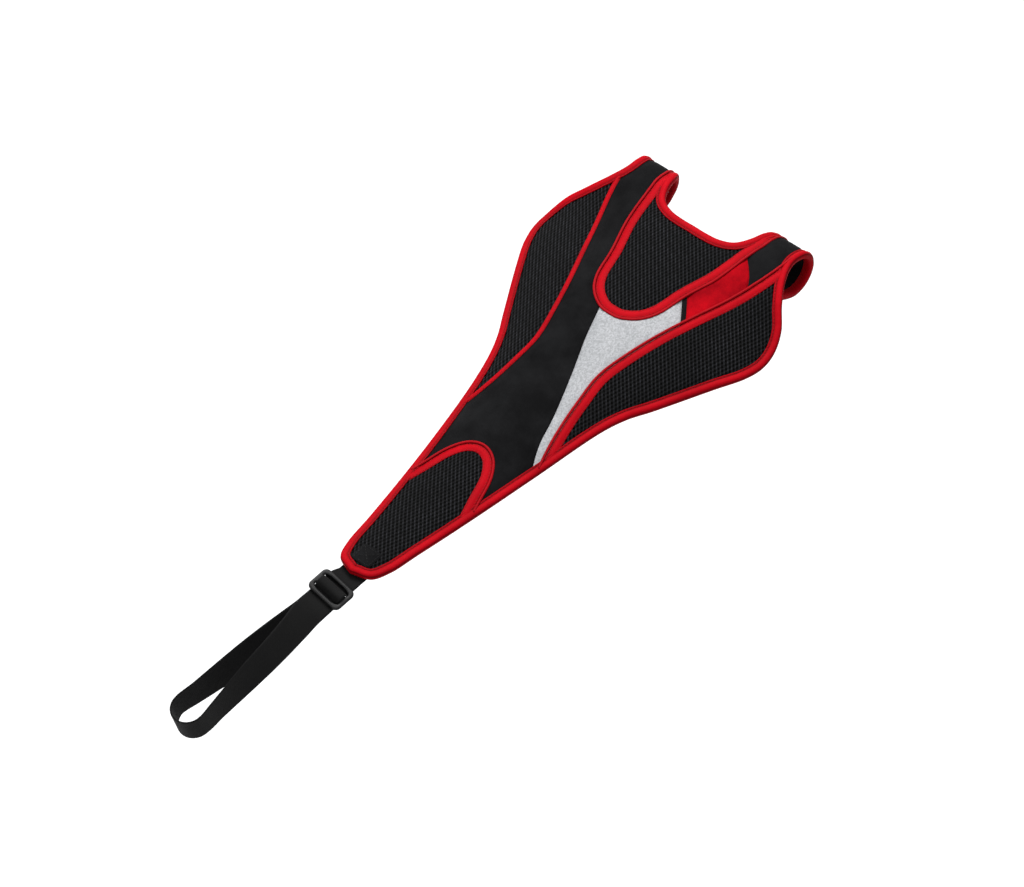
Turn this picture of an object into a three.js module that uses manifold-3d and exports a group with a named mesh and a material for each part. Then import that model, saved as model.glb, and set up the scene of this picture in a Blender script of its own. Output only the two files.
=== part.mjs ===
// Bicycle sweat guard for indoor training: an absorbent cloth sewn from foam-backed panels
// and knitted mesh. Two front tabs wrap round the handlebar and fasten to themselves under
// the cloth, and an adjustable webbing strap at the tail goes round the seat post.
//
// Millimetres. The origin is on the handlebar's axis midway between the tabs, +X is forward,
// +Y is to the rider's left and +Z is up. The cloth is shown as it hangs when fitted.
//
// Every cloth piece is cut flat, as a pattern cutter does, and then bent. Flat places are
// s, the distance back from the top of the handlebar, v, the distance to the left of the
// middle line, and n, the height above the middle of the panel cloth.

import * as THREE from 'three';
import { mergeVertices } from 'three/addons/utils/BufferGeometryUtils.js';
import Module from 'manifold-3d';

const wasm = await Module();
wasm.setup();

// What the guard is fitted to
const BAR_RADIUS = 15.9;
const POST_RADIUS = 13.6;
const POST_LEAN = THREE.MathUtils.degToRad(13.5);
const POST_X = -639.5;
const POST_Z = -97.4;

// Cloth and tape thicknesses, and the gap kept between neighbouring pieces
const GAP = 0.3;
const CLOTH_GAP = 0.45;
const PANEL_THICK = 2;
const BACKING_THICK = 0.8;
const TAPE_THICK = 0.8;
const BINDING_THICK = 1;
const HOOK_THICK = 1.4;
const PILE_THICK = 1.2;
const SEAM_GAP = 0.4;

// Mesh panels: a thin ground with ridges of knitting that run across it
const RIB_HEIGHT = 0.7;
const MESH_THICK = 1.7;
const RIB_PITCH = 10;
const RIB_TURN = THREE.MathUtils.degToRad(-41);

// Tape widths
const BINDING_WIDTH = 8.5;
const SEAM_TAPE_WIDTH = 7.6;
const SINGLE_TAPE_WIDTH = 4.6;
const PIPING_WIDTH = 2.2;
const PIPING_HEIGHT = 1.5;

// Heights of the layers, measured from the middle of the panel cloth
const PANEL_TOP = PANEL_THICK / 2;
const PANEL_LOW = -PANEL_THICK / 2;
const BACKING_TOP = PANEL_LOW - CLOTH_GAP;
const BACKING_LOW = BACKING_TOP - BACKING_THICK;
const TAPE_LOW = PANEL_TOP + CLOTH_GAP;
const TAPE_TOP = TAPE_LOW + TAPE_THICK;
const BINDING_TOP = TAPE_LOW + BINDING_THICK;
const BINDING_LOW = BACKING_LOW - CLOTH_GAP - BINDING_THICK;
const PATCH_TOP = BACKING_LOW - GAP;
const PILE_LOW = PATCH_TOP - PILE_THICK;
const HOOK_LOW = PATCH_TOP - HOOK_THICK;

// The whole cloth: its length behind the bar and the half width of its wings
const TAIL_S = 470;
const WING_V = 134.5;

// The front tabs
const TAB_SEAM_S = -22;
const TAB_END_CORNER = 12;
const TAB_INNER_V = 61;
const TAB_OUTER_V = 95;
const LAP_START = 66;
const LAP_END = 104;
const LAP_DEPTH = -PILE_LOW + CLOTH_GAP - HOOK_LOW;
const HOOK_LENGTH = 22;
const HOOK_WIDTH = TAB_OUTER_V - TAB_INNER_V - 2 * (BINDING_WIDTH + 1);
const PILE_WIDTH = 28;
const PATCH_CORNER = 3;
const SIDE_BOW = 0.5;

// The tail strap
const STRAP_WIDTH = 26;
const STRAP_THICK = 1.4;
const STRAP_ANCHOR_S = 438;
const ANCHOR_LENGTH = 19;
const ANCHOR_WIDTH = 24;
const SLIDER_BEHIND_TAIL = 21.6;
const SLIDER_LENGTH = 24;
const SLIDER_RAIL = 3.8;
const SLIDER_BAR = 4;
const SLIDER_THICK = 3.2;
const SLIDER_BEVEL = 0.8;
const SLIDER_CORNER = 5;
const SLIDER_ROLL = THREE.MathUtils.degToRad(16);

// The two runs from the slider to the seat post lie flat on each other at the slider. They
// turn together on to their edges and part: share of the way, turn in degrees, half the gap
const RUNS = [
  [0.04, 19, 0.9], [0.12, 36, 3.2], [0.24, 52, 7.4], [0.37, 59, 10.2], [0.5, 64, 11.8], [0.63, 70, 12.4],
  [0.76, 78, 12.8], [0.88, 85, 13.4],
];

// Length of the facets: fine where the cloth bends round the handlebar, long elsewhere
const FINE_STEP = 4;
const LAP_STEP = 6;
const STEP = 12;
const LINING_STEP = 17;
const TAB_STEP = 17;
const RIB_STEP = 20;
const FINE_FROM = -68;
const FINE_TO = 28;

const point = (s, v) => new THREE.Vector2(s, v);

function stepAt(s, step = STEP) {
  if (s < FINE_FROM) return LAP_STEP;
  return s < FINE_TO ? FINE_STEP : step;
}

// Drops points that lie closer together than the facets need
function thin(points) {
  const kept = [points[0]];
  points.slice(1, -1).forEach((p) => {
    const room = stepAt((p.x + kept.at(-1).x) / 2) - 0.01;
    if (p.distanceTo(kept.at(-1)) > room && p.distanceTo(points.at(-1)) > room / 2) kept.push(p);
  });
  return [...kept, points.at(-1)];
}

// Smooth curve through a few flat points
function smooth(knots) {
  const curve = new THREE.CatmullRomCurve3(knots.map(([s, v]) => new THREE.Vector3(s, v, 0)));
  const count = Math.ceil(curve.getLength());
  return thin(curve.getSpacedPoints(count).map((p) => point(p.x, p.y)));
}

const mirrored = (points) => points.map((p) => point(p.x, -p.y));

// The hang of the cloth: its middle line in the XZ plane, from the bar back to the tail
const LOOP_RADIUS = BAR_RADIUS + GAP - BINDING_LOW;
const MIDDLE_JOIN = new THREE.Vector3(-200, 0, -25.5);
const spine = new THREE.CurvePath();
spine.add(new THREE.CubicBezierCurve3(
  new THREE.Vector3(0, 0, LOOP_RADIUS),
  new THREE.Vector3(-45, 0, LOOP_RADIUS),
  new THREE.Vector3(-120, 0, -2),
  MIDDLE_JOIN,
));
spine.add(new THREE.CubicBezierCurve3(
  MIDDLE_JOIN,
  new THREE.Vector3(-275, 0, -48.5),
  new THREE.Vector3(-340, 0, -66),
  new THREE.Vector3(-460, 0, -75.6),
));
const spineLength = spine.getLength();

// The cloth droops to both sides of its middle line, more and more towards the tail: the
// sideways curvature, in 1/mm, grows over the wings, over the waist and again to the tail
const WING_DROOP = { from: 0, to: 88, curvature: 0.0029 };
const WAIST_DROOP = { from: 120, to: 300, curvature: 0.0045 };
const TAIL_DROOP = { from: 300, to: 470, curvature: 0.002 };

function droopAt(s) {
  return [WING_DROOP, WAIST_DROOP, TAIL_DROOP].reduce(
    (sum, { from, to, curvature }) => sum + curvature * THREE.MathUtils.smoothstep(s, from, to),
    0,
  );
}

// Point, outward normal and droop of the cloth's middle line at s
function onSpine(s) {
  const u = Math.min(s / spineLength, 1);
  const at = spine.getPointAt(u);
  const along = spine.getTangentAt(u);
  at.addScaledVector(along, Math.max(s - spineLength, 0));
  return { at, normal: new THREE.Vector3(along.z, 0, -along.x), droop: droopAt(s) };
}

// The tabs' own middle line: round the bar from its top, then up to lie along the underside
// of the cloth, where hook tape meets pile tape
const barPoint = (degrees) => {
  const a = THREE.MathUtils.degToRad(degrees);
  return new THREE.Vector3(LOOP_RADIUS * Math.cos(a), 0, LOOP_RADIUS * Math.sin(a));
};
const underCloth = (s) => {
  const { at, normal } = onSpine(s);
  return at.addScaledVector(normal, -LAP_DEPTH);
};
const offBar = new THREE.CubicBezierCurve3(
  barPoint(-110),
  barPoint(-110).add(barPoint(160)),
  underCloth(LAP_START).addScaledVector(spine.getTangentAt(LAP_START / spineLength), -LOOP_RADIUS),
  underCloth(LAP_START),
);
const girdle = new THREE.CatmullRomCurve3([
  ...[90, 60, 30, 0, -30, -60, -90, -110].map(barPoint),
  ...[0.25, 0.5, 0.75].map((t) => offBar.getPoint(t)),
  ...[0, 0.17, 0.33, 0.5, 0.67, 0.83, 1].map((t) => underCloth(LAP_START + (LAP_END - LAP_START) * t)),
]);
girdle.arcLengthDivisions = 600;
const girdleLength = girdle.getLength();
const lapLength = LAP_END - LAP_START;

function onGirdle(distance) {
  const u = Math.min(distance / girdleLength, 1);
  const at = girdle.getPointAt(u);
  const along = girdle.getTangentAt(u);
  const lap = THREE.MathUtils.smoothstep(distance, girdleLength - 2 * lapLength, girdleLength - lapLength);
  const cloth = droopAt(LAP_END - (girdleLength - distance));
  const droop = -lap * cloth / (1 - cloth * LAP_DEPTH);
  return { at, normal: new THREE.Vector3(-along.z, 0, along.x), droop };
}

// Takes a flat place to its place in the fitted guard
function bend(s, v, n) {
  const { at, normal, droop } = s < 0 ? onGirdle(-s) : onSpine(s);
  if (Math.abs(droop) < 1e-6) {
    return at.addScaledVector(normal, n).setY(v);
  }
  const radius = 1 / droop;
  const height = (radius + n) * Math.cos(droop * v) - radius;
  return at.addScaledVector(normal, height).setY((radius + n) * Math.sin(droop * v));
}

// Flat solids, as manifold-3d solids
function toSolid(geometry) {
  const bare = geometry.clone();
  bare.deleteAttribute('normal');
  bare.deleteAttribute('uv');
  const merged = mergeVertices(bare, 1e-4);
  return new wasm.Manifold(new wasm.Mesh({
    numProp: 3,
    vertProperties: new Float32Array(merged.attributes.position.array),
    triVerts: new Uint32Array(merged.index.array),
  }));
}

// A cutter through all the layers
const CUT_HEIGHT = 40;
function prism(points) {
  const shape = new THREE.Shape(points);
  const geometry = new THREE.ExtrudeGeometry(shape, { depth: CUT_HEIGHT, bevelEnabled: false });
  return toSolid(geometry.translate(0, 0, -CUT_HEIGHT / 2));
}

// A flat sheet divided into cells, so that it can be bent
function blank([s0, s1], [v0, v1], [low, high], step = STEP) {
  const lines = [s0];
  while (lines.at(-1) < s1) lines.push(Math.min(lines.at(-1) + stepAt(lines.at(-1), step), s1));
  const cells = lines.length - 1;
  const geometry = new THREE.BoxGeometry(cells, v1 - v0, high - low, cells, Math.ceil((v1 - v0) / step), 1);
  geometry.translate(cells / 2, (v0 + v1) / 2, (low + high) / 2);
  const place = geometry.attributes.position;
  for (let i = 0; i < place.count; i += 1) place.setX(i, lines[Math.round(place.getX(i))]);
  return toSolid(geometry);
}

// A sheet of knitted mesh with ridges on its top
function ribbedBlank([s0, s1], [v0, v1]) {
  const side = Math.hypot(s1 - s0, v1 - v0);
  const ribs = Math.ceil(side / RIB_PITCH);
  const ground = PANEL_TOP - RIB_HEIGHT;
  const low = PANEL_TOP - MESH_THICK;
  const geometry = new THREE.BoxGeometry(
    ribs * RIB_PITCH, ribs * RIB_PITCH, ground - low, Math.ceil(side / RIB_STEP), 2 * ribs, 1,
  );
  geometry.translate(0, 0, (ground + low) / 2);
  const place = geometry.attributes.position;
  for (let i = 0; i < place.count; i += 1) {
    const line = Math.round((place.getY(i) / RIB_PITCH) * 2 + ribs);
    if (place.getZ(i) > ground - 0.01 && line % 2 === 1) place.setZ(i, PANEL_TOP);
  }
  geometry.rotateZ(RIB_TURN);
  return toSolid(geometry.translate((s0 + s1) / 2, (v0 + v1) / 2, 0));
}

// Moves a line of points sideways, to its right for a positive distance
function offset(points, distance, closed = true) {
  const last = points.length - 1;
  return points.map((p, i) => {
    const before = points[closed ? (i + last) % (last + 1) : Math.max(i - 1, 0)];
    const after = points[closed ? (i + 1) % (last + 1) : Math.min(i + 1, last)];
    const along = after.clone().sub(before).normalize();
    return point(p.x + along.y * distance, p.y - along.x * distance);
  });
}

// Skin of rings of points, closed on itself or with flat ends
function loft(rings, closed = false) {
  const size = rings[0].length;
  const positions = rings.flat().flatMap((p) => p.toArray());
  const faces = [];
  const spans = closed ? rings.length : rings.length - 1;
  for (let i = 0; i < spans; i += 1) {
    const here = i * size;
    const there = ((i + 1) % rings.length) * size;
    for (let j = 0; j < size; j += 1) {
      const next = (j + 1) % size;
      faces.push(here + j, here + next, there + next);
      faces.push(here + j, there + next, there + j);
    }
  }
  if (!closed) {
    const end = spans * size;
    for (let j = 1; j < size - 1; j += 1) {
      faces.push(0, j + 1, j);
      faces.push(end, end + j, end + j + 1);
    }
  }
  const geometry = new THREE.BufferGeometry();
  geometry.setAttribute('position', new THREE.Float32BufferAttribute(positions, 3));
  geometry.setIndex(faces);
  return geometry;
}

// A section, as pairs of sideways distance and height, swept along a flat line
function tape(line, section, closed = false) {
  const rings = section.map(([side]) => offset(line, side, closed));
  const place = (i, j) => new THREE.Vector3(rings[j][i].x, rings[j][i].y, section[j][1]);
  return loft(line.map((_, i) => section.map((_pair, j) => place(i, j))), closed);
}

// Outline of the whole cloth, to the outside of its edge binding. Left half, from the
// middle of the front notch round the left tab and wing to the middle of the tail.
const tabEnd = 1 - girdleLength;
const TAB_SIDE_S = -44;
const notchEdge = smooth([
  [28, 0], [28, 14], [26.5, 27], [21, 39], [9, TAB_INNER_V - 14], [-8, TAB_INNER_V - 9],
  [-24, TAB_INNER_V - 3], [TAB_SIDE_S, TAB_INNER_V],
]);
const wingEdge = smooth([
  [TAB_SIDE_S, TAB_OUTER_V], [-14, TAB_OUTER_V - 0.5], [9, TAB_OUTER_V - 1], [26, TAB_OUTER_V + 5],
  [45, WING_V - 22.5], [62, WING_V - 9], [80, WING_V - 1.5], [98, WING_V], [116, WING_V - 5],
  [142, WING_V - 19], [190, 88], [208, 77], [232, 67], [304, 50.5], [TAIL_S - 55, 30],
  [TAIL_S - 22, 24.5], [TAIL_S - 7, 17.5], [TAIL_S, 0],
]);
const corner = (centreS, centreV, from) => [0, 1, 2, 3].map((i) => {
  const a = from + (i * Math.PI) / 6;
  return point(centreS + TAB_END_CORNER * Math.cos(a), centreV - TAB_END_CORNER * Math.sin(a));
});

// The long sides of a tab bow out a little, as a sewn side does
const tabSide = (a, b, bow) => {
  const count = Math.round(a.distanceTo(b));
  return thin(Array.from({ length: count - 1 }, (_, i) => {
    const t = (i + 1) / count;
    const at = a.clone().lerp(b, t);
    at.y += bow * 4 * t * (1 - t);
    return at;
  }));
};
const tabInnerCorner = corner(tabEnd + TAB_END_CORNER, TAB_INNER_V + TAB_END_CORNER, Math.PI / 2);
const tabOuterCorner = corner(tabEnd + TAB_END_CORNER, TAB_OUTER_V - TAB_END_CORNER, Math.PI);
const leftHalf = [
  ...notchEdge,
  ...tabSide(notchEdge.at(-1), tabInnerCorner[0], -SIDE_BOW),
  ...tabInnerCorner,
  ...tabOuterCorner,
  ...tabSide(tabOuterCorner.at(-1), wingEdge[0], SIDE_BOW),
  ...wingEdge,
];
const outline = [...leftHalf.slice(0, -1), ...mirrored(leftHalf).reverse().slice(0, -1)];
const clothEdge = offset(outline, BINDING_THICK + GAP);
const insideBinding = new wasm.CrossSection([outline.map((p) => [p.x, p.y])], 'EvenOdd')
  .offset(-BINDING_WIDTH - GAP, 'Miter');

// Seams between the panels, on the left half. The same lines serve on the right.
const WING_SEAM = [
  [TAB_SEAM_S, TAB_OUTER_V + 4], [6, TAB_OUTER_V], [24, TAB_OUTER_V - 3], [53, 84], [77, 75.5], [103, 65.5],
  [137, 53], [165, 44.5], [195, 38], [218, 39.5], [250, 43.5], [282, 51], [320, 66],
];
const VEE_HALF = [
  [8, TAB_INNER_V - 4.4], [15, TAB_INNER_V - 5.8], [24, TAB_INNER_V - 7.5], [57, 47.5], [89, 37], [116, 30],
  [128, 22], [136, 9],
];
const ARCH_HALF = [[400, 46], [372, 35], [352, 28.5], [327, 20.7], [314, 11]];
const flip = ([s, v]) => [s, -v];
const leftWingSeam = smooth(WING_SEAM);
const rightWingSeam = mirrored(leftWingSeam);
const veeSeam = smooth([...VEE_HALF, [137, 0], ...VEE_HALF.map(flip).reverse()]);
const archSeam = smooth([...ARCH_HALF, [310, 0], ...ARCH_HALF.map(flip).reverse()]);

// Joins across the right branch: the left edge of the silver panel, the narrow black insert
// and the end of the red panel
const silverEdge = smooth([
  [122, 20], [140, 11.7], [171, 1.2], [210, -14.5], [247, -27.6], [279, -37], [330, -66],
]);
const insertBack = smooth([[84, -33], [98, -44.5], [131, -68]]);
const insertFront = insertBack.map((p) => point(p.x - 3.6, p.y - 2.8));
const redEnd = smooth([[16, -46], [30, -61.6], [42, -73], [70, -89]]);

// Regions bounded by a seam on one side and reaching past the cloth on the others
const PAST = TAIL_S + WING_V;
const wingRegion = (seam) => {
  const far = Math.sign(seam[0].y) * PAST;
  return [...seam, point(seam.at(-1).x, far), point(seam[0].x, far)];
};
const archRegion = [...archSeam, point(PAST, archSeam.at(-1).y), point(PAST, archSeam[0].y)];
const aheadOf = (line) => [
  ...line, point(line.at(-1).x, -PAST), point(-PAST, -PAST), point(-PAST, line[0].y),
];
const tabRegion = (side) => [
  point(TAB_SEAM_S, 0), point(TAB_SEAM_S, side * PAST), point(-PAST, side * PAST), point(-PAST, 0),
];

const cutters = {
  cloth: prism(clothEdge),
  inside: insideBinding.extrude(CUT_HEIGHT, 0, 0, [1, 1], true),
  leftWing: prism(wingRegion(leftWingSeam)),
  rightWing: prism(wingRegion(rightWingSeam)),
  vee: prism(veeSeam),
  arch: prism(archRegion),
  branch: prism(aheadOf(silverEdge)),
  aheadOfInsertBack: prism(aheadOf(insertBack)),
  aheadOfInsertFront: prism(aheadOf(insertFront)),
  aheadOfRedEnd: prism(aheadOf(redEnd)),
  leftTab: prism(tabRegion(1)),
  rightTab: prism(tabRegion(-1)),
};
const seamCut = (line) => {
  const left = offset(line, SEAM_GAP / 2, false);
  const right = offset(line, -SEAM_GAP / 2, false);
  return prism([...left, ...right.reverse()]);
};
const tabCut = seamCut([point(TAB_SEAM_S, -PAST), point(TAB_SEAM_S, PAST)]);
const meshSeams = [leftWingSeam, rightWingSeam, veeSeam, archSeam].map(seamCut)
  .reduce((sum, cut) => sum.add(cut), tabCut);
const allSeams = [silverEdge, insertBack, insertFront, redEnd].map(seamCut)
  .reduce((sum, cut) => sum.add(cut), meshSeams);

// Reach of the sheets behind the tabs' seam
const bodyReach = [TAB_SEAM_S - FINE_STEP / 2, TAIL_S];

const guard = new THREE.Group();

function addMesh(name, geometry, colour, roughness, metalness = 0) {
  geometry.computeVertexNormals();
  const material = new THREE.MeshStandardMaterial({ color: colour, roughness, metalness });
  const mesh = new THREE.Mesh(geometry, material);
  mesh.name = name;
  guard.add(mesh);
  return mesh;
}

// Bends a flat solid and adds it. Bending mirrors the solid, because s runs backwards, so
// each face is turned over.
function addCloth(name, solid, colour, roughness) {
  const { numProp, vertProperties, triVerts } = solid.getMesh();
  const positions = [];
  for (let i = 0; i < vertProperties.length; i += numProp) {
    positions.push(...bend(vertProperties[i], vertProperties[i + 1], vertProperties[i + 2]).toArray());
  }
  const geometry = new THREE.BufferGeometry();
  geometry.setAttribute('position', new THREE.Float32BufferAttribute(positions, 3));
  geometry.setIndex(Array.from(triVerts).reverse());
  return addMesh(name, geometry, colour, roughness);
}

const BLACK = '#262628';
const MESH_BLACK = '#151517';
const RED = '#d01622';
const SILVER = '#c9c9cc';
const WEBBING_BLACK = '#161617';

// Black, silver and red foam-backed panels, all one layer with butted seams
function addPanels() {
  const { cloth, leftWing, rightWing, vee, arch, branch, leftTab, rightTab } = cutters;
  const sheet = blank(bodyReach, [-TAB_OUTER_V - 6, TAB_OUTER_V + 6], [PANEL_LOW, PANEL_TOP]).intersect(cloth)
    .subtract(leftWing).subtract(rightWing).subtract(vee).subtract(arch)
    .subtract(leftTab).subtract(rightTab).subtract(allSeams);
  const branchSheet = sheet.intersect(branch);
  const { aheadOfInsertBack, aheadOfInsertFront, aheadOfRedEnd } = cutters;
  addCloth('centre_panel', sheet.subtract(branch), BLACK, 0.9);
  addCloth('silver_panel', branchSheet.subtract(aheadOfInsertBack), SILVER, 0.45);
  addCloth('black_insert', branchSheet.intersect(aheadOfInsertBack).subtract(aheadOfInsertFront), BLACK, 0.9);
  addCloth('red_panel', branchSheet.intersect(aheadOfInsertFront).subtract(aheadOfRedEnd), RED, 0.7);
  addCloth('right_loop_panel', branchSheet.intersect(aheadOfRedEnd), BLACK, 0.9);
}

// Knitted mesh panels
function addMeshPanels() {
  const { cloth, leftWing, rightWing, vee, arch } = cutters;
  const wing = ribbedBlank([0, 290], [30, WING_V]).intersect(cloth).intersect(leftWing).subtract(meshSeams);
  addCloth('left_mesh_panel', wing, MESH_BLACK, 0.85);
  const otherWing = ribbedBlank([0, 290], [-WING_V, -30]).intersect(cloth).intersect(rightWing)
    .subtract(meshSeams);
  addCloth('right_mesh_panel', otherWing, MESH_BLACK, 0.85);
  const front = ribbedBlank([0, 138], [-62, 62]).intersect(cloth).intersect(vee).subtract(meshSeams);
  addCloth('front_mesh_panel', front, MESH_BLACK, 0.85);
  const tail = ribbedBlank([308, TAIL_S], [-40, 40]).intersect(cloth).intersect(arch).subtract(meshSeams);
  addCloth('tail_mesh_panel', tail, MESH_BLACK, 0.85);
}

// Waterproof lining under all the panels, up to the tabs
function addBacking() {
  const { cloth, leftTab, rightTab } = cutters;
  const sheet = blank(bodyReach, [-WING_V, WING_V], [BACKING_LOW, BACKING_TOP], LINING_STEP);
  const lining = sheet.intersect(cloth).subtract(leftTab).subtract(rightTab).subtract(tabCut);
  addCloth('backing_sheet', lining, '#1b1b1d', 0.6);
}

// A rounded rectangle whose sides bow out a little
const patch = (centreS, centreV, length, width) => {
  const sign = (i) => (i === 0 || i === 3 ? -1 : 1);
  const place = (a, b) => point(centreS + (a * length) / 2, centreV + (b * width) / 2);
  const points = [0, 1, 2, 3].flatMap((i) => {
    const [a, b] = [sign(i), sign((i + 3) % 4)];
    const [c, d] = [sign((i + 1) % 4), sign(i)];
    const ends = [place(a, b), place(c, d)];
    const along = ends[1].clone().sub(ends[0]);
    const side = along.length();
    along.normalize();
    const count = Math.ceil(side / FINE_STEP / 1.5);
    const room = PATCH_CORNER / side;
    return Array.from({ length: count + 1 }, (_, j) => {
      const t = THREE.MathUtils.lerp(room, 1 - room, j / count);
      const bow = SIDE_BOW * 4 * t * (1 - t);
      return ends[0].clone().addScaledVector(along, t * side).addScaledVector(point(along.y, -along.x), bow);
    });
  });
  return prism(points);
};

// One tab with its hook tape, and the pile tape that it grips under the cloth
function addTab(label, side) {
  const region = side > 0 ? cutters.leftTab : cutters.rightTab;
  const reach = [tabEnd - 10, TAB_SEAM_S];
  const across = [TAB_INNER_V - 8, TAB_OUTER_V + 8].map((v) => side * v).sort((a, b) => a - b);
  const tab = blank(reach, across, [BACKING_LOW, PANEL_TOP], TAB_STEP)
    .intersect(cutters.cloth).intersect(region).subtract(tabCut);
  addCloth(`${label}_bar_tab`, tab, BLACK, 0.9);

  const middle = (side * (TAB_INNER_V + TAB_OUTER_V)) / 2;
  const hookS = tabEnd + BINDING_WIDTH + PATCH_CORNER + HOOK_LENGTH / 2;
  const hook = blank([tabEnd, tabEnd + 2 * HOOK_LENGTH], across, [HOOK_LOW, PATCH_TOP])
    .intersect(patch(hookS, middle, HOOK_LENGTH, HOOK_WIDTH));
  addCloth(`${label}_hook_patch`, hook, '#1c1c1e', 0.8);

  const pileS = (LAP_START + LAP_END) / 2;
  const pile = blank([LAP_START - 4, LAP_END + 4], across, [PILE_LOW, PATCH_TOP])
    .intersect(patch(pileS, middle, LAP_END - LAP_START, PILE_WIDTH));
  addCloth(`${label}_pile_patch`, pile, '#202023', 0.95);
}

// The red tape folded over the whole edge, as a U
function addBinding() {
  const section = [
    [0, BINDING_LOW], [0.6, BINDING_TOP], [BINDING_WIDTH, BINDING_TOP], [BINDING_WIDTH, TAPE_LOW],
    [BINDING_THICK, TAPE_LOW], [BINDING_THICK, BACKING_LOW - CLOTH_GAP],
    [BINDING_WIDTH, BACKING_LOW - CLOTH_GAP], [BINDING_WIDTH, BINDING_LOW],
  ];
  addCloth('edge_binding', toSolid(tape(outline, section, true)), RED, 0.7);
}

const flatSection = (middle, width, low, high) => [
  [middle - width / 2, low], [middle - width / 2, high],
  [middle + width / 2, high], [middle + width / 2, low],
];

// Tapes that cover the seams, trimmed where they reach the binding
function addSeamTapes() {
  const trimmed = (line, middle, width, high) => {
    const strip = toSolid(tape(line, flatSection(middle, width, TAPE_LOW, high)));
    return strip.intersect(cutters.inside);
  };
  const piping = SEAM_TAPE_WIDTH / 2 + GAP + PIPING_WIDTH / 2;
  const pipingTop = TAPE_LOW + PIPING_HEIGHT;
  addCloth('left_seam_tape', trimmed(leftWingSeam, 0, SINGLE_TAPE_WIDTH, TAPE_TOP), RED, 0.7);
  addCloth('right_seam_tape', trimmed(rightWingSeam, 0, SEAM_TAPE_WIDTH, TAPE_TOP), RED, 0.7);
  addCloth('right_seam_piping', trimmed(rightWingSeam, -piping, PIPING_WIDTH, pipingTop), RED, 0.7);
  addCloth('vee_seam_tape', trimmed(veeSeam, 0, SEAM_TAPE_WIDTH, TAPE_TOP), RED, 0.7);
  addCloth('vee_seam_piping', trimmed(veeSeam, -piping, PIPING_WIDTH, pipingTop), RED, 0.7);
  addCloth('tail_seam_tape', trimmed(archSeam, 0, SEAM_TAPE_WIDTH, TAPE_TOP), RED, 0.7);
  addCloth('tail_seam_piping', trimmed(archSeam, piping, PIPING_WIDTH, pipingTop), RED, 0.7);
}

// Directions of the strap's pull between the slider and the seat post
const tailEnd = bend(TAIL_S, 0, BINDING_LOW - GAP - STRAP_THICK / 2);
const postCentre = new THREE.Vector3(POST_X, 0, POST_Z);
const postAxis = new THREE.Vector3(-Math.sin(POST_LEAN), 0, Math.cos(POST_LEAN));
const postRear = new THREE.Vector3(-Math.cos(POST_LEAN), 0, -Math.sin(POST_LEAN));
const pull = postCentre.clone().sub(tailEnd).setY(0).normalize();
const lift = new THREE.Vector3(pull.z, 0, -pull.x);
const layer = STRAP_THICK + GAP;
const sliderCentre = tailEnd.clone().addScaledVector(pull, SLIDER_BEHIND_TAIL)
  .addScaledVector(lift, SLIDER_THICK / 2 + GAP + STRAP_THICK / 2);

// Directions across the strap and out of its face, when it is turned by an angle
const left = new THREE.Vector3(0, 1, 0);
const turnedAcross = (angle, upward) => left.clone().multiplyScalar(Math.cos(angle))
  .addScaledVector(upward, Math.sin(angle));
const turnedFace = (angle, upward) => left.clone().multiplyScalar(-Math.sin(angle))
  .addScaledVector(upward, Math.cos(angle));
const sliderAcross = turnedAcross(SLIDER_ROLL, lift);
const sliderFace = turnedFace(SLIDER_ROLL, lift);
const fromSlider = (back, up) => sliderCentre.clone()
  .addScaledVector(pull, back).addScaledVector(sliderFace, up);

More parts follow.
